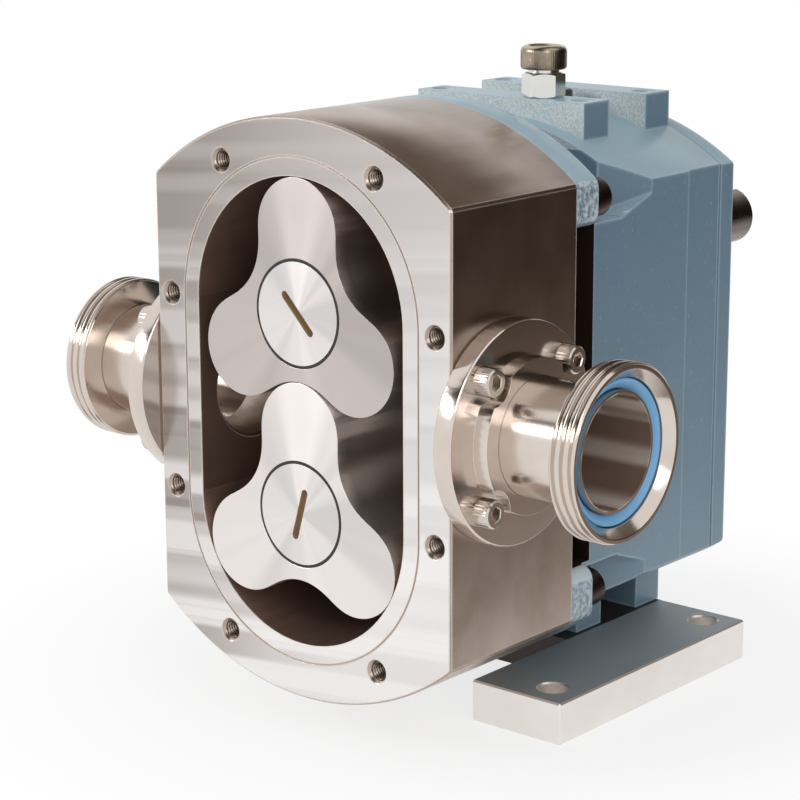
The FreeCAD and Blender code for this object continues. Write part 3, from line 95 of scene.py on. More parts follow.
class Nodes:
    # Short calls for the nodes of one material or world. A value is a number, a colour or a socket.
    def __init__(self, tree):
        self.tree = tree

    def node(self, kind, **fields):
        made = self.tree.nodes.new("ShaderNode" + kind)
        for key, value in fields.items():
            setattr(made, key, value)
        return made

    def feed(self, socket, value):
        if isinstance(value, bpy.types.NodeSocket):
            self.tree.links.new(value, socket)
        else:
            socket.default_value = value

    def fed(self, made, *values):
        for socket, value in zip(made.inputs, values):
            self.feed(socket, value)
        return made

    def math(self, operation, *values, clamp=False):
        return self.fed(self.node("Math", operation=operation, use_clamp=clamp), *values).outputs[0]

    def plus(self, first, second):
        return self.math("ADD", first, second)

    def minus(self, first, second):
        return self.math("SUBTRACT", first, second)

    def times(self, first, second):
        return self.math("MULTIPLY", first, second)

    def scaled(self, value, factor, offset):
        return self.math("MULTIPLY_ADD", value, factor, offset)

    def over(self, value, limit):
        return self.math("GREATER_THAN", value, limit)

    def under(self, value, limit):
        return self.math("LESS_THAN", value, limit)

    def between(self, value, low, high):
        return self.times(self.over(value, low), self.under(value, high))

    def remap(self, value, low, high, to_low=0.0, to_high=1.0, smooth=False):
        made = self.node("MapRange", interpolation_type="SMOOTHSTEP" if smooth else "LINEAR")
        return self.fed(made, value, low, high, to_low, to_high).outputs[0]

    def mix(self, factor, first, second):
        made = self.node("Mix", data_type="RGBA")
        for place, value in ((0, factor), (6, first), (7, second)):
            self.feed(made.inputs[place], value)
        return made.outputs[2]

    def parts(self, vector):
        return self.fed(self.node("SeparateXYZ"), vector).outputs

    def vectors(self, operation, *values):
        return self.fed(self.node("VectorMath", operation=operation), *values).outputs[0]

    def length(self, vector):
        return self.fed(self.node("VectorMath", operation="LENGTH"), vector).outputs[1]

    def dot(self, first, second):
        return self.fed(self.node("VectorMath", operation="DOT_PRODUCT"), first, second).outputs[1]

    def join(self, factor, first, second):
        # The material's surface, from two shaders.
        made = self.fed(self.node("MixShader"), factor, first, second)
        self.fed(self.node("OutputMaterial"), made.outputs[0])


class Look(Nodes):
    # A material with a principled shader.
    def __init__(self, name, **values):
        self.material = bpy.data.materials.new(name)
        self.material.use_nodes = True
        super().__init__(self.material.node_tree)
        self.shader = self.tree.nodes["Principled BSDF"]
        self.place = self.node("TexCoord").outputs["Object"]
        for key, value in values.items():
            self.set(key.replace("_", " "), value)

    def set(self, name, value):
        self.feed(self.shader.inputs[name], value)

    def stretch(self, *scale):
        made = self.fed(self.node("Mapping"), self.place)
        made.inputs["Scale"].default_value = scale
        return made.outputs[0]

    def noise(self, scale, detail, rough=0.55, vector=None, distort=0.0):
        made = self.node("TexNoise")
        values = {"Vector": self.place if vector is None else vector, "Scale": scale, "Detail": detail,
                  "Roughness": rough, "Distortion": distort}
        for name, value in values.items():
            self.feed(made.inputs[name], value)
        return made.outputs["Fac"]

    def bump(self, height, strength, distance):
        made = self.node("Bump")
        for name, value in (("Height", height), ("Strength", strength), ("Distance", distance)):
            self.feed(made.inputs[name], value)
        self.set("Normal", made.outputs[0])

    def normal(self):
        return self.node("NewGeometry").outputs["Normal"]

    def from_line(self, across, origin):
        # The vector to the point from a line through the origin, square to that line.
        shift = tuple(-a * o for a, o in zip(across, origin))
        return self.vectors("ADD", self.vectors("MULTIPLY", self.place, across), shift)

    def turned_about(self, outward, axis):
        # Tool marks run round the line, so gloss spreads square to them over the surface.
        turned = self.node("VectorTransform", vector_type="VECTOR",
                           convert_from="OBJECT", convert_to="WORLD")
        round_it = self.vectors("CROSS_PRODUCT", self.fed(turned, outward).outputs[0], axis)
        across = self.vectors("CROSS_PRODUCT", self.normal(), round_it)
        self.set("Tangent", self.vectors("NORMALIZE", across))

    def edges(self, reach, low, high, most):
        # Where the surface turns sharply within this reach; the looks paint highlights there.
        soft = self.node("Bevel", samples=4)
        soft.inputs["Radius"].default_value = reach
        return self.remap(self.dot(soft.outputs[0], self.normal()), low, high, most, 0)

    def upward(self, value, scale):
        made = self.node("CombineXYZ")
        self.feed(made.inputs[2], self.times(value, scale))
        return made.outputs[0]


# Limits between finishes, in metres. Each lies just off a surface of the CAD.
TUBE_SKIN = 0.0254
CHAMBER_SKIN = 0.0612
LAND_EDGE = 0.0697
FRONT_SKIN = at(0, 0.2, 0).y
SLOT_MOUTH = at(0, 0.8, 0).y
SLOT_REACH = 0.0135


def satin_steel(name, colour, rough, smudge=0.25, metal=1.0, lathe=False):
    # Fine grain in soft clouds. On a lathe, the marks run round the ports' line.
    look = Look(name, Metallic=metal, Anisotropic=0.6 if lathe else 0.0)
    cloud = look.noise(38, 4)
    fine = look.noise(900, 2)
    base = look.mix(look.remap(cloud, 0.35, 0.7), colour, darkened(colour, 1 - smudge))
    if lathe:
        outward = look.from_line((0, 1, 1), at(0, PORT_BACK, 0))
        look.turned_about(outward, (1, 0, 0))
        # Inside the bore: painted shade and painted reflections. The colour is a darker brown with
        # lighter and darker bands round the port's line, and the metal is less metallic.
        inside = look.under(look.length(outward), TUBE_SKIN)
        bore_band_noise = look.noise(2.2, 1.0, vector=look.vectors("NORMALIZE", outward))
        bore_shade_and_reflections = look.mix(look.remap(bore_band_noise, 0.44, 0.60, smooth=True),
                         linear(150, 128, 114), linear(236, 226, 216))
        base = look.mix(inside, base, bore_shade_and_reflections)
        look.set("Metallic", look.minus(1.0, look.times(inside, 0.6)))
        marks = look.noise(1.0, 2, vector=look.stretch(2600, 30, 30))
        fine = look.plus(look.times(fine, 0.5), look.times(marks, 0.5))
    look.set("Base Color", base)
    uneven = look.scaled(look.minus(fine, 0.5), 0.10, rough)
    look.set("Roughness", look.scaled(look.minus(cloud, 0.5), 0.14, uneven))
    look.bump(fine, 0.05, 0.0002)
    return look


def turned_steel(name, colour, rough, up, anisotropy=0.75, slot=False):
    # Faces finished on a lathe or a rotary table: fine rings about the shaft's line, with painted sheen
    # in fans, lighter and darker wedges about the shaft. The floor of a nut's slot is painted a darker
    # brown as painted shade in the recess, and is less metallic.
    look = Look(name, Metallic=1.0, Anisotropic=anisotropy)
    outward = look.from_line((1, 0, 1), at(0, 0, up))
    look.turned_about(outward, (0, 1, 0))
    away = look.length(outward)
    rings = look.noise(2600, 2, vector=look.upward(away, 1.0))
    painted_sheen_fan = look.noise(1.7, 1.5, vector=look.vectors("NORMALIZE", outward))
    darker = darkened(colour, 0.84)
    base = look.mix(look.remap(painted_sheen_fan, 0.38, 0.62, smooth=True), colour, darker)
    base = look.mix(look.remap(rings, 0.5, 0.8, 0, 0.15), base, darker)
    if slot:
        # Painted shade: the slot's floor is a darker brown and less metallic.
        y = look.parts(look.place)[1]
        shaded_slot_floor = look.times(look.over(y, SLOT_MOUTH), look.under(away, SLOT_REACH))
        base = look.mix(shaded_slot_floor, base, linear(176, 150, 118))
        look.set("Metallic", look.minus(1.0, look.times(shaded_slot_floor, 0.75)))
    look.set("Base Color", base)
    look.set("Roughness", look.scaled(look.noise(30, 3), 0.10, rough - 0.05))
    look.bump(rings, 0.03, 0.0002)
    return look


def case_look():
    # The case: a faced front painted with broad reflection bands over a painted gradient of light,
    # finely ground sides,
    # # a bored chamber painted darker as painted shade, and edges painted lighter as painted
    # highlights.
    look = Look("case_steel_machined", Anisotropic=0.4)
    x, y, z = look.parts(look.place)
    above = look.minus(z, CENTRE_UP * MM)
    beyond = look.math("MAXIMUM", look.minus(look.math("ABSOLUTE", above), UPPER * MM), 0.0)
    squares = [look.math("POWER", side, 2.0) for side in (look.math("ABSOLUTE", x), beyond)]
    from_line = look.math("SQRT", look.plus(*squares))
    front = look.under(y, FRONT_SKIN)
    on_land = look.under(from_line, LAND_EDGE)
    inside = look.times(look.under(from_line, CHAMBER_SKIN), look.minus(1.0, front))

    # Painted reflections: broad bands across the front face, stronger at the left and at other heights
    # on the land,
    # # over a painted gradient of light that is darker towards the upper left.
    leaning = look.scaled(x, -0.10, look.scaled(on_land, 0.006, above))
    wide = look.remap(look.noise(1.0, 1.0, vector=look.upward(leaning, 38.0)), 0.46, 0.54, smooth=True)
    thin = look.remap(look.noise(1.0, 2.0, vector=look.upward(leaning, 120.0)), 0.54, 0.62, smooth=True)
    reflection_band = look.plus(look.times(wide, 0.72), look.times(thin, 0.2))
    strength = look.remap(x, -0.085, 0.03, 1.0, 0.22, smooth=True)
    slope = look.scaled(x, -0.7, above)
    front_light_gradient = look.mix(look.remap(slope, -0.10, 0.15), linear(244, 240, 238), linear(190, 184, 181))
    bright = look.mix(look.times(reflection_band, strength), front_light_gradient, linear(146, 136, 129))

    cloud = look.noise(34, 4)
    body = look.mix(look.remap(cloud, 0.3, 0.7), linear(188, 174, 164), linear(166, 150, 138))
    # Painted shade: the bored chamber is a darker brown.
    body = look.mix(inside, body, linear(128, 104, 92))
    # Painted highlights: edges are lighter and less metallic.
    edge_highlight = look.edges(0.0011, 0.93, 0.99, 1.0)
    look.set("Base Color", look.mix(edge_highlight, look.mix(front, body, bright), linear(228, 216, 206)))
    dull = look.math("ADD", look.times(inside, 0.35), look.times(edge_highlight, 0.8), clamp=True)
    look.set("Metallic", look.minus(1.0, dull))
    lines = look.noise(1.0, 2, vector=look.stretch(1800, 40, 40))
    across = look.noise(1.0, 2, vector=look.stretch(40, 40, 2400))
    grain = look.mix(front, lines, across)
    look.set("Roughness", look.scaled(grain, 0.10, look.scaled(front, -0.08, 0.25)))
    look.bump(grain, 0.06, 0.0002)
    return look


def paint_look():
    # Light blue-grey satin enamel on a rough casting, lighter on the sides towards the bottom. Painted
    # light: faces turned up are
    # # paler, with painted highlights along edges and on the lower notch ramps and painted shade in the
    # side windows; gritty on the front ends of the top bars and speckled on the flange ears.
    look = Look("enamel_on_casting", Coat_Weight=0.2, Coat_Roughness=0.22)
    bar_foot, ramp_top = 0.109, 0.094
    ears_back = at(0, 106, 0).y
    smooth_from = at(0, 187, 0).y
    window_y, window_z, window_x = (-0.0493, -0.0262), (-0.0781, 0.0806), 0.0373

    x, y, z = look.parts(look.place)
    above = look.minus(z, CENTRE_UP * MM)
    facing_x, facing_y, facing_z = look.parts(look.normal())
    top = look.remap(facing_z, 0.15, 0.7, smooth=True)
    cloud = look.remap(look.noise(16, 4), 0.3, 0.7)
    fleck = look.noise(420, 3, 0.6)
    peel = look.noise(260, 3, 0.6, distort=0.4)
    side = look.mix(look.remap(above, -0.10, 0.08), linear(130, 157, 173), linear(108, 135, 153))
    # Painted light: faces turned up are paler.
    base = look.mix(top, side, linear(168, 195, 208))
    base = look.mix(look.times(cloud, 0.16), base, linear(88, 112, 130))

    on_bar = look.times(look.over(above, bar_foot), look.under(facing_y, -0.7))
    grit = look.remap(look.noise(1300, 3, 0.7), 0.40, 0.58)
    base = look.mix(on_bar, base, look.mix(grit, linear(176, 194, 201), linear(222, 226, 221)))
    rough_ear = look.times(look.under(y, ears_back), look.over(facing_x, 0.8))
    patches = look.remap(look.noise(420, 4, 0.7), 0.42, 0.60, 0, 0.75)
    base = look.mix(look.times(rough_ear, patches), base, linear(222, 232, 234))
    # Painted highlight on the low faces that turn up and outward, the notch ramps.
    ramp = look.times(look.remap(facing_z, 0.05, 0.35, smooth=True), look.under(above, ramp_top))
    base = look.mix(look.times(ramp, look.over(facing_x, 0.1)), base, linear(214, 228, 234))
    base = look.mix(look.remap(fleck, 0.62, 0.74, 0, 0.35), base, linear(176, 196, 206))

    # Painted highlights along the casting's edges, lighter where the surface turns.
    painted_edge_glint = look.edges(0.0022, 0.90, 0.995, 0.75)
    base = look.mix(painted_edge_glint, base, linear(186, 208, 218))
    # Painted shade: the inner walls of the side windows are dark brown.
    window = look.times(look.between(y, *window_y), look.between(above, *window_z))
    window = look.times(window, look.over(look.math("ABSOLUTE", x), window_x))
    look.set("Base Color", look.mix(window, base, linear(44, 32, 26)))
    look.set("Roughness", look.scaled(fleck, 0.22, 0.32))
    amount = look.minus(look.scaled(rough_ear, 2.4, 1.0), look.times(look.over(y, smooth_from), 0.7))
    height = look.plus(peel, look.times(look.noise(90, 4, 0.6), 0.8))
    look.bump(look.times(height, amount), 0.5, 0.0006)
    return look


def foot_look():
    # Ground steel. The sides are painted pale and the top darker, as painted light and shade by which
    # way each face turns; the top is also rougher and less metallic.
    look = Look("foot_plate_ground")
    top = look.over(look.parts(look.normal())[2], 0.9)
    grain = look.noise(1.0, 3, vector=look.stretch(260, 14, 260))
    cloud = look.noise(30, 4)
    paler_side_painted = look.mix(cloud, linear(252, 248, 244), linear(238, 230, 224))
    darker_top_painted = look.mix(cloud, linear(170, 177, 179), linear(150, 157, 159))
    look.set("Base Color", look.mix(top, paler_side_painted, darker_top_painted))
    look.set("Metallic", look.scaled(top, -0.55, 0.85))
    look.set("Roughness", look.plus(look.times(top, 0.16), look.scaled(grain, 0.16, 0.26)))
    look.bump(grain, 0.12, 0.0002)
    return look


def brass_look():
    # Oxidised brass, painted paler on top as a painted highlight.
    look = Look("cap_oxidised_brass", Metallic=1.0)
    cloud = look.noise(120, 4)
    top = look.remap(look.parts(look.normal())[2], 0.3, 0.9)
    base = look.mix(look.remap(cloud, 0.35, 0.65), linear(168, 156, 138), linear(122, 110, 92))
    look.set("Base Color", look.mix(top, base, linear(204, 198, 172)))
    look.set("Roughness", look.scaled(cloud, 0.16, 0.2))
    return look


def soft_look(name, first, second, rough, scale=160, clear=0.0):
    look = Look(name, Transmission_Weight=clear)
    cloud = look.noise(scale, 4)
    look.set("Base Color", look.mix(cloud, first, second))
    look.set("Roughness", look.scaled(cloud, 0.15, rough - 0.07))
    look.bump(look.noise(scale * 6, 2), 0.1, 0.0001)
    return look


looks = {
    "port": satin_steel("port_steel_polished", linear(220, 209, 200), 0.17, smudge=0.08, lathe=True),
    "collar": satin_steel("union_steel_polished", linear(216, 205, 196), 0.15, smudge=0.08, lathe=True),
    "screw": satin_steel("screw_steel_bright", linear(218, 209, 200), 0.2),
    "dark": satin_steel("oiled_dark_steel", linear(92, 74, 62), 0.32),
    "plate": satin_steel("shaded_plate_steel", linear(74, 66, 62), 0.5, metal=0.5),
    "shaft": satin_steel("ground_shaft_steel", linear(96, 74, 62), 0.26),
    "gear": satin_steel("gear_steel_cut", linear(150, 146, 140), 0.3),
    "bearing": satin_steel("bearing_steel_ground", linear(190, 188, 184), 0.16),
    "bolt": satin_steel("blackened_bolt_steel", linear(86, 70, 60), 0.34),
    "plug": satin_steel("painted_plug_steel", linear(78, 88, 84), 0.4, metal=0.4),
    "thread": satin_steel("tapped_thread_steel", linear(176, 162, 150), 0.3),
    "nickel": satin_steel("nickel_plate", linear(228, 228, 224), 0.12, smudge=0.1, metal=0.95),
    "case": case_look(),
    "paint": paint_look(),
    "foot": foot_look(),
    "brass": brass_look(),
    "blue": soft_look("blue_seal_rubber", linear(140, 196, 238), linear(120, 178, 226), 0.34),
    "black": soft_look("black_seal_rubber", linear(42, 36, 34), linear(30, 26, 24), 0.5),
    "gasket": soft_look("gasket_painted_over", linear(120, 144, 160), linear(104, 128, 144), 0.6, 400),
    "ceramic": soft_look("seal_ceramic_lapped", linear(196, 192, 186), linear(180, 176, 170), 0.22),
    "glass": soft_look("oil_glass_tinted", linear(176, 150, 84), linear(150, 122, 60), 0.08, clear=0.6),
}
# The drive rotor, above, is given a darker face colour than the driven rotor below: painted shade on
# the same steel.
LINES = (("drive", UPPER, linear(204, 195, 191)), ("driven", LOWER, linear(238, 232, 229)))
for line, up, faced in LINES:
    looks[line + "_rotor"] = turned_steel(line + "_rotor_faced", faced, 0.32, up)
    looks[line + "_nut"] = turned_steel(line + "_nut_turned", linear(234, 229, 226), 0.28, up,
                                        anisotropy=0.8, slot=True)

# The look for each of the record's material slots.
BY_SLOT = {
    "case_steel": "case", "port_steel": "port", "screw_steel": "screw", "foot_steel": "foot",
    "shaft_steel": "shaft", "gear_steel": "gear", "bearing_steel": "bearing", "dark_steel": "dark",
    "gearbox_paint": "paint", "blue_rubber": "blue", "black_rubber": "black",
    "gasket_fibre": "gasket", "seal_ceramic": "ceramic", "nickel": "nickel", "cap_brass": "brass",
    "oil_glass": "glass",
}


def look_for(name, slot):
    if slot in ("rotor_steel", "nut_steel"):
        return looks[name.split("_")[0] + ("_rotor" if slot == "rotor_steel" else "_nut")]
    # The cross plate under the case takes a dark look, as painted shade.
    if name == "cross_plate":
        return looks["plate"]
    return looks[BY_SLOT[slot]]


# CAD nodes: looks and eased edges, whose widths are in millimetres.
EASING = {
    "gearbox_body": 0.9, "rotor_case": 0.25, "port_flange_right": 0.35, "port_flange_left": 0.35,
    "drive_rotor": 0.25, "driven_rotor": 0.25, "drive_rotor_nut": 0.2, "driven_rotor_nut": 0.2,
    "rear_cover": 0.4, "cross_plate": 0.5, "drive_shaft": 0.3,
}
for name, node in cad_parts.items():
    for holder in node.material_slots:
        holder.material = look_for(name, holder.material.name.split(".")[0]).material
    if name in EASING:
        weld = node.modifiers.new("weld", "WELD")
        weld.merge_threshold = 0.000002
        bevel = node.modifiers.new("eased_edges", "BEVEL")
        bevel.limit_method = "ANGLE"
        bevel.angle_limit = math.radians(30)
        bevel.width = EASING[name] * MM
        bevel.segments = 2
        bevel.harden_normals = True


# Turned and machined pieces. Each is a stack of rings, a radius and a height in millimetres, and
# either may be a function of the angle.
def hexagon(across_flats):
    def radius(angle):
        turn = (math.degrees(angle) + 30) % 60 - 30
        return across_flats / 2 / math.cos(math.radians(turn))
    return radius


def knurled(radius, depth, count):
    return lambda a: radius - depth * (0.5 - 0.5 * math.cos(count * a))


def value_at(value, angle):
    return value(angle) if callable(value) else value


def stack(rings, segments, closed=False):
    # The points and faces of the rings, about +Z.
    points, faces, rows = [], [], []
    for radius, height in rings:
        if radius == 0:
            rows.append([len(points)] * segments)
            points.append(Vector((0, 0, value_at(height, 0))) * MM)
            continue
        rows.append(list(range(len(points), len(points) + segments)))
        for step in range(segments):
            angle = 2 * math.pi * step / segments
            r = value_at(radius, angle)
            point = Vector((r * math.cos(angle), r * math.sin(angle), value_at(height, angle)))
            points.append(point * MM)
    pairs = list(zip(rows, rows[1:]))
    if closed:
        pairs.append((rows[-1], rows[0]))
    for first, second in pairs:
        for step in range(segments):
            after = (step + 1) % segments
            corners = list(dict.fromkeys([first[step], first[after], second[after], second[step]]))
            if len(corners) > 2:
                faces.append(corners)
    return points, faces


def rounded(points, closed=True, steps=3):
    # Each point is a radius, a height and how far its corner is rounded.
    made = []
    count = len(points)
    for index, (r, z, reach) in enumerate(points):
        if reach == 0 or (not closed and index in (0, count - 1)):
            made.append((r, z))
            continue
        here = Vector((r, z))
        before = Vector(points[index - 1][:2]) - here
        after = Vector(points[(index + 1) % count][:2]) - here
        start = here + before.normalized() * min(reach, before.length * 0.49)
        end = here + after.normalized() * min(reach, after.length * 0.49)
        for step in range(steps + 1):
            t = step / steps
            made.append(tuple(start * (1 - t) ** 2 + here * 2 * t * (1 - t) + end * t * t))
    return made


def facing(place, axis, spin=0.0):
    turn = Vector(axis).to_track_quat("Z", "Y").to_matrix().to_4x4()
    return Matrix.Translation(at(*place)) @ turn @ Matrix.Rotation(spin, 4, "Z")


def piece(name, solid, places, look, stands_for=None, body="housing"):
    # One object with the same points and faces at each place.
    points, faces = [], []
    for place in places:
        first = len(points)
        points += [place @ p for p in solid[0]]
        faces += [[first + i for i in face] for face in solid[1]]
    mesh = bpy.data.meshes.new(name)
    mesh.from_pydata(points, [], faces)
    work = bmesh.new()
    work.from_mesh(mesh)
    bmesh.ops.recalc_face_normals(work, faces=work.faces)
    work.to_mesh(mesh)
    work.free()
    mesh.shade_smooth()
    mesh.set_sharp_from_angle(angle=math.radians(32))
    mesh.materials.append(looks[look].material)
    made = bpy.data.objects.new(name, mesh)
    scene.collection.objects.link(made)
    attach(made, body)
    if stands_for:
        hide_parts(stands_for)


# Union collars, with their round thread cut as one helix of three turns.
def collar():
    pitch, crest, depth = 25.4 / 6, 39.0, 2.0
    run_in, lowered, sharpness = 0.8, 1.1, 2.4
    steps = 60
    end = 152.0
    start = end - pitch * 3
    rings = []
    for index in range(steps + 1):
        s = start + (end - start) * index / steps
        room = min(1.0, (s - start) / run_in, end - s)

        def radius(angle, s=s, room=room):
            wave = 0.5 + 0.5 * math.cos(2 * math.pi * (s - start) / pitch - angle)
            return crest - depth * wave ** sharpness * room - (1 - room) * lowered
        rings.append((radius, s))
    inner = [(37.4, end, 0), (36.2, end, 0.25), (32.15, 147.5, 0.4), (32.15, 142.45, 0.2),
             (26.58, 142.45, 0.3), (26.58, start, 0.3), (36.9, start, 0.4)]
    return stack(rings + rounded(inner, False), 144, True)


for side, sign in (("right", 1), ("left", -1)):
    piece("union_collar_" + side, collar(), [facing((0, PORT_BACK, 0), (sign, 0, 0))],
          "collar", "port_collar_" + side)

# Soft rings: the seals in both port mouths and the rings round the rotor nuts.
seal = rounded([(26.9, 142.5, 0.4), (26.9, 143.6, 0.5), (28.0, 144.6, 1.0), (30.9, 147.5, 1.1),
                (31.75, 146.6, 0.5), (31.75, 142.5, 0.4)], steps=5)
piece("seal_rings_moulded", stack(seal, 128, True),
      [facing((0, PORT_BACK, 0), (sign, 0, 0)) for sign in (1, -1)],
      "blue", "port_seal_rings")
cord = rounded([(23.33, 0.35, 0.4), (24.67, 0.35, 0.4), (24.67, 3.1, 0.3), (23.33, 3.1, 0.3)], steps=4)
for line, up, _ in LINES:
    piece(line + "_nut_cord", stack(cord, 128, True), [facing((0, 0, up), (0, 1, 0))],
          "black", line + "_nut_ring", line + "_line")


# Screws with their sockets, flats and knurls. A head sits on z = 0.
def socket_screw(head, height, key, shank, length, knurls=0):
    grip = head / 2
    tip = shank / 2
    side = knurled(grip, 0.28, knurls)
    recess = hexagon(key)
    return stack([(0, -length), (tip - 0.8, -length), (tip, 0.8 - length), (tip, 0), (grip - 0.3, 0),
                  (side, 0.4), (side, height - 1.2), (grip - 0.25, height - 0.6), (grip - 1.0, height),
                  (lambda a: recess(a) + 0.35, height), (recess, height - 0.45),
                  (recess, height * 0.45), (0, height * 0.38)], 96)


def hex_screw(flats, height, shank, length):
    six = hexagon(flats)
    top = flats / 2 * 0.94
    foot = flats / 2 * 0.95
    slope = math.tan(math.radians(28))
    return stack([(0, -length), (shank / 2, -length), (shank / 2, 0), (foot, 0), (foot, 0.4),
                  (six, 0.4), (six, lambda a: height - max(0.0, six(a) - top) * slope),
                  (top, height), (top * 0.5, height), (0, height)], 72)


PORT_FACE = 97
PORT_SCREW_STEP = 40.5 * math.cos(math.radians(45))
COVER_SEAT = 229.5
piece("port_screws_socketed", socket_screw(13, 8, 6, 8, 20, 36),
      [facing((PORT_FACE * sign, PORT_BACK + PORT_SCREW_STEP * a, PORT_SCREW_STEP * b), (sign, 0, 0),
              0.3 + a * 0.9 + b * 0.5 + sign) for sign in (1, -1) for a, b in CORNERS],
      "screw", "port_screws")
piece("case_bolts_socketed", socket_screw(18, 12, 10, 12, 32, 40),
      [facing((78 * a, 104, 92 * b), (0, 1, 0), a + b * 0.4) for a, b in CORNERS],
      "bolt", "case_bolts")
holes = [(69 * a, 63 * b) for a in BOTH for b in (-1, 0, 1)] + [(24 * a, 107 * b) for a, b in CORNERS]
piece("cover_screws_hexed", hex_screw(10, 4, 6, 27.5),
      [facing((x, COVER_SEAT, z), (0, 1, 0), x * 0.3 + z * 0.7) for x, z in holes],
      "bolt", "cover_screws")
piece("drain_plug_hexed", hex_screw(20, 4, 14, 15), [facing((0, COVER_SEAT, -88), (0, 1, 0), 0.2)],
      "bolt", "drain_plug")


# Threads in the tapped holes: a thin sleeve just inside the hole's wall, whose ridges are one helix.
def tapped(hole, pitch, start, depth):
    sleeve, ridge = hole - 0.04, 0.55
    steps = int(depth / pitch * 8)
    rings = []
    for index in range(steps + 1):
        s = start + depth * index / steps
        turn = 2 * math.pi * s / pitch
        rings.append((lambda a, turn=turn: sleeve - ridge * (0.5 - 0.5 * math.cos(turn - a)), -s))
    return stack(rings, 40)


HOLE_REACH = 78.5
BAR_TOP = 129.2
BAR_BACKS = (153.6, 203.6)
corner_across = HOLE_REACH * math.cos(math.radians(55))
corner_up = UPPER + HOLE_REACH * math.sin(math.radians(55))
holes = [(corner_across * a, corner_up * b) for a, b in CORNERS]
holes += [(HOLE_REACH * a, UPPER * b) for a, b in CORNERS]
piece("cover_hole_threads", tapped(4.25, 1.5, 1.5, 12),
      [facing((x, 0, z), (0, -1, 0)) for x, z in holes], "thread")
piece("bar_hole_threads", tapped(5.1, 1.75, 1.3, 10),
      [facing((42 * a, back, BAR_TOP), (0, 0, 1)) for a in BOTH for back in BAR_BACKS],
      "thread")

# Breather: a chamfered hexagon foot with a round knurled cap, dished on top.
BREATHER_AT = (19, BAR_BACKS[0], BAR_TOP)
six = hexagon(18)
low_crown = lambda a: 0.2 + max(0.0, six(a) - 8.8) * 0.55
high_crown = lambda a: 11.6 - max(0.0, six(a) - 8.8) * 0.55
piece("breather_foot",
      stack([(0, -14), (6, -14), (6, 0), (8.8, 0), (six, low_crown), (six, high_crown), (8.5, 11.8),
             (7.75, 11.9), (7.75, 13.4), (3.8, 13.4), (3.8, 18.8), (0, 18.8)], 72),
      [facing(BREATHER_AT, (0, 0, 1), 0.17)], "nickel", "breather_body")
grip = knurled(11.0, 0.16, 60)
piece("breather_cap_round",
      stack([(3.96, 18.9), (3.96, 13.4), (10.2, 13.4), (10.8, 13.9), (grip, 14.6), (grip, 21.4),
             (10.85, 22.4), (10.3, 23.5), (9.5, 24.2), (8.8, 24.4), (8.1, 24.1), (7.4, 23.5),
             (0, 23.3)], 180),
      [facing(BREATHER_AT, (0, 0, 1))], "brass", "breather_cap")
piece("filler_plug_socketed", socket_screw(16, 10.7, 8, 12, 14),
      [facing((8, 178.6, 119.6), (0, 0, 1), 0.5)], "plug", "filler_plug")
bezel = rounded([(9.2, -0.2, 0.2), (9.2, 0.7, 0.3), (10.0, 1.4, 0.3), (11.4, 1.4, 0.5),
                 (12.6, 0.3, 0.3), (12.6, 0.02, 0.1), (9.6, 0.02, 0.0)])
piece("oil_glass_bezel", stack(bezel, 72, True), [facing((-80.5, 146, -30), (-1, 0, 0))],
      "nickel")


# Stage, in metres.
def plane(name, low, high, up, material):
    corners = [(low[0], low[1]), (high[0], low[1]), (high[0], high[1]), (low[0], high[1])]
    mesh = bpy.data.meshes.new(name)
    mesh.from_pydata([Vector((x, y, up)) for x, y in corners], [], [(0, 1, 2, 3)])
    mesh.materials.append(material)
    made = bpy.data.objects.new(name, mesh)
    scene.collection.objects.link(made)
    return made


def bare_material(name):
    material = bpy.data.materials.new(name)
    material.use_nodes = True
    material.node_tree.nodes.clear()
    return material, Nodes(material.node_tree)


def seen_directly(made):
    # One for camera, glossy and transmission rays, and nothing for the rays that carry light.
    path = made.node("LightPath").outputs
    either = made.math("MAXIMUM", path["Is Camera Ray"], path["Is Glossy Ray"])
    return made.math("MAXIMUM", either, path["Is Transmission Ray"])


def floor_material():
    # A pale matt floor that keeps the shadow near the pump and turns to plain white away from it.
    material, made = bare_material("pale_floor")
    matt = made.fed(made.node("BsdfDiffuse"), (0.9, 0.9, 0.9, 1))
    away = made.length(made.node("TexCoord").outputs["Object"])
    white = made.times(seen_directly(made), made.remap(away, 0.12, 0.30, 0.78, 1.0, smooth=True))
    made.join(white, matt.outputs[0], made.node("Emission").outputs[0])
    return material


def card_material(name, stops):
    # A glow whose colour, and how solid it is, change along the card.
    material, made = bare_material(name)
    across = made.parts(made.node("TexCoord").outputs["UV"])[0]
    ramp = made.fed(made.node("ValToRGB"), across)
    marks = ramp.color_ramp.elements
    while len(marks) < len(stops):
        marks.new(0.5)
    for mark, (position, colour) in zip(marks, stops):
        mark.position = position
        mark.color = colour
    shine = made.fed(made.node("Emission"), ramp.outputs["Color"])
    made.join(ramp.outputs["Alpha"], made.node("BsdfTransparent").outputs[0], shine.outputs[0])
    return material


plane("floor", (-8, -8), (8, 8), -0.0003, floor_material())

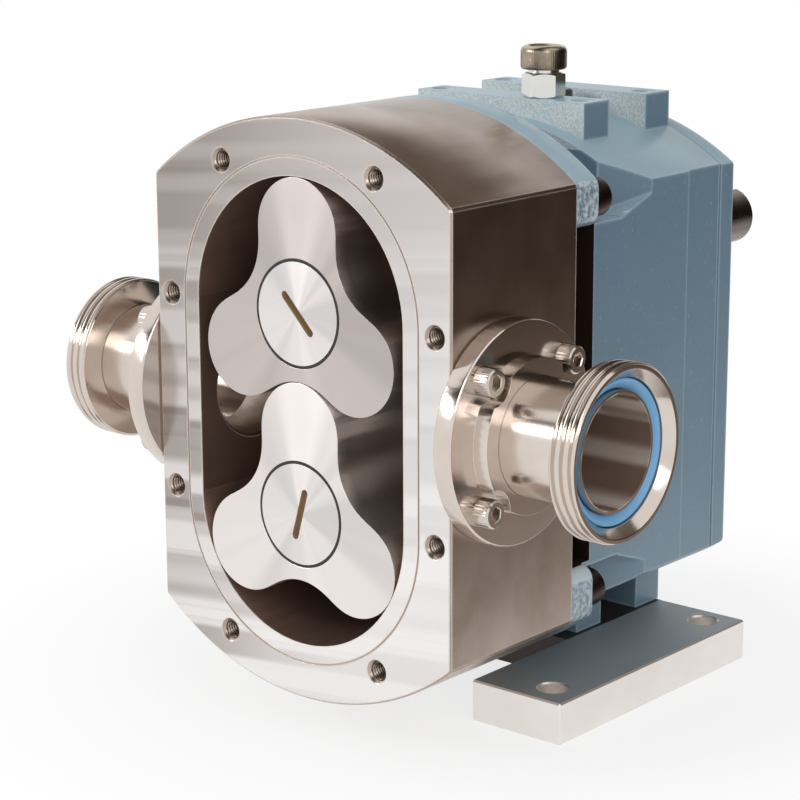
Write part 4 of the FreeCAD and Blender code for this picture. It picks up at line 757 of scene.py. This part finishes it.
# The studio floor is dark towards the back right, as the flat right-hand faces show. Only shiny
# surfaces see this card.
card = plane("card_floor_right", (0.16, -0.1), (7.9, 7.9), 0.0005, card_material("card_floor_right", [
    (0.0, (0.42, 0.36, 0.33, 0.0)), (0.012, (0.34, 0.29, 0.26, 1.0)),
    (0.046, (0.17, 0.13, 0.105, 1.0)), (0.074, (0.03, 0.019, 0.013, 1.0)),
    (1.0, (0.025, 0.016, 0.011, 1.0))]))
for ray in ("camera", "diffuse", "shadow", "transmission", "volume_scatter"):
    setattr(card, "visible_" + ray, False)
uv = card.data.uv_layers.new(name="card")
for loop, corner in zip(uv.data, ((0, 0), (1, 0), (1, 1), (0, 1))):
    loop.uv = corner


def lamp(name, place, target, size, power):
    data = bpy.data.lights.new(name, "AREA")
    data.shape = "RECTANGLE"
    data.size, data.size_y = size
    data.energy = power
    made = bpy.data.objects.new(name, data)
    made.location = place
    made.rotation_euler = (Vector(target) - Vector(place)).to_track_quat("-Z", "Y").to_euler()
    scene.collection.objects.link(made)


lamp("key", (-1.10, -1.34, 0.88), (0.05, -0.08, 0.15), (0.9, 0.34), 11)
lamp("fill", (1.2, -0.9, 0.9), (0, 0, 0.15), (0.6, 0.6), 3)


def set_world():
    # Plain white all round for the camera. Shiny surfaces see a white room to about 30 degrees up, with
    # a white panel overhead at each side, and a dark brown ceiling and back right corner.
    scene.world = bpy.data.worlds.new("studio")
    scene.world.use_nodes = True
    scene.world.node_tree.nodes.clear()
    made = Nodes(scene.world.node_tree)
    white = (1, 1, 1, 1)
    direction = made.node("TexCoord").outputs["Generated"]
    _, ahead, height = made.parts(direction)
    to_corner = made.dot(direction, (0.647, 0.762, 0))
    to_panel = made.dot(made.vectors("ABSOLUTE", direction), (0.63, 0.17, 0.76))
    walls = made.times(made.remap(height, 0.44, 0.60, 1.0, 0.0, smooth=True),
                       made.remap(to_corner, 0.45, 0.85, 1.0, 0.0, smooth=True))
    lit = made.math("MAXIMUM", walls, made.remap(to_panel, 0.905, 0.945, smooth=True))
    ceiling = made.mix(made.remap(ahead, -0.15, 0.35, smooth=True),
                       (0.035, 0.025, 0.018, 1), (0.19, 0.15, 0.122, 1))
    shade = made.mix(made.remap(to_corner, 0.68, 0.93, smooth=True), ceiling, (0.03, 0.02, 0.014, 1))
    glossy = made.node("LightPath").outputs["Is Glossy Ray"]
    colour = made.mix(glossy, white, made.mix(lit, shade, white))
    strength = made.remap(seen_directly(made), 0.0, 1.0, 0.62, 1.0, smooth=True)
    light = made.fed(made.node("Background"), colour, strength)
    made.fed(made.node("OutputWorld"), light.outputs[0])


set_world()
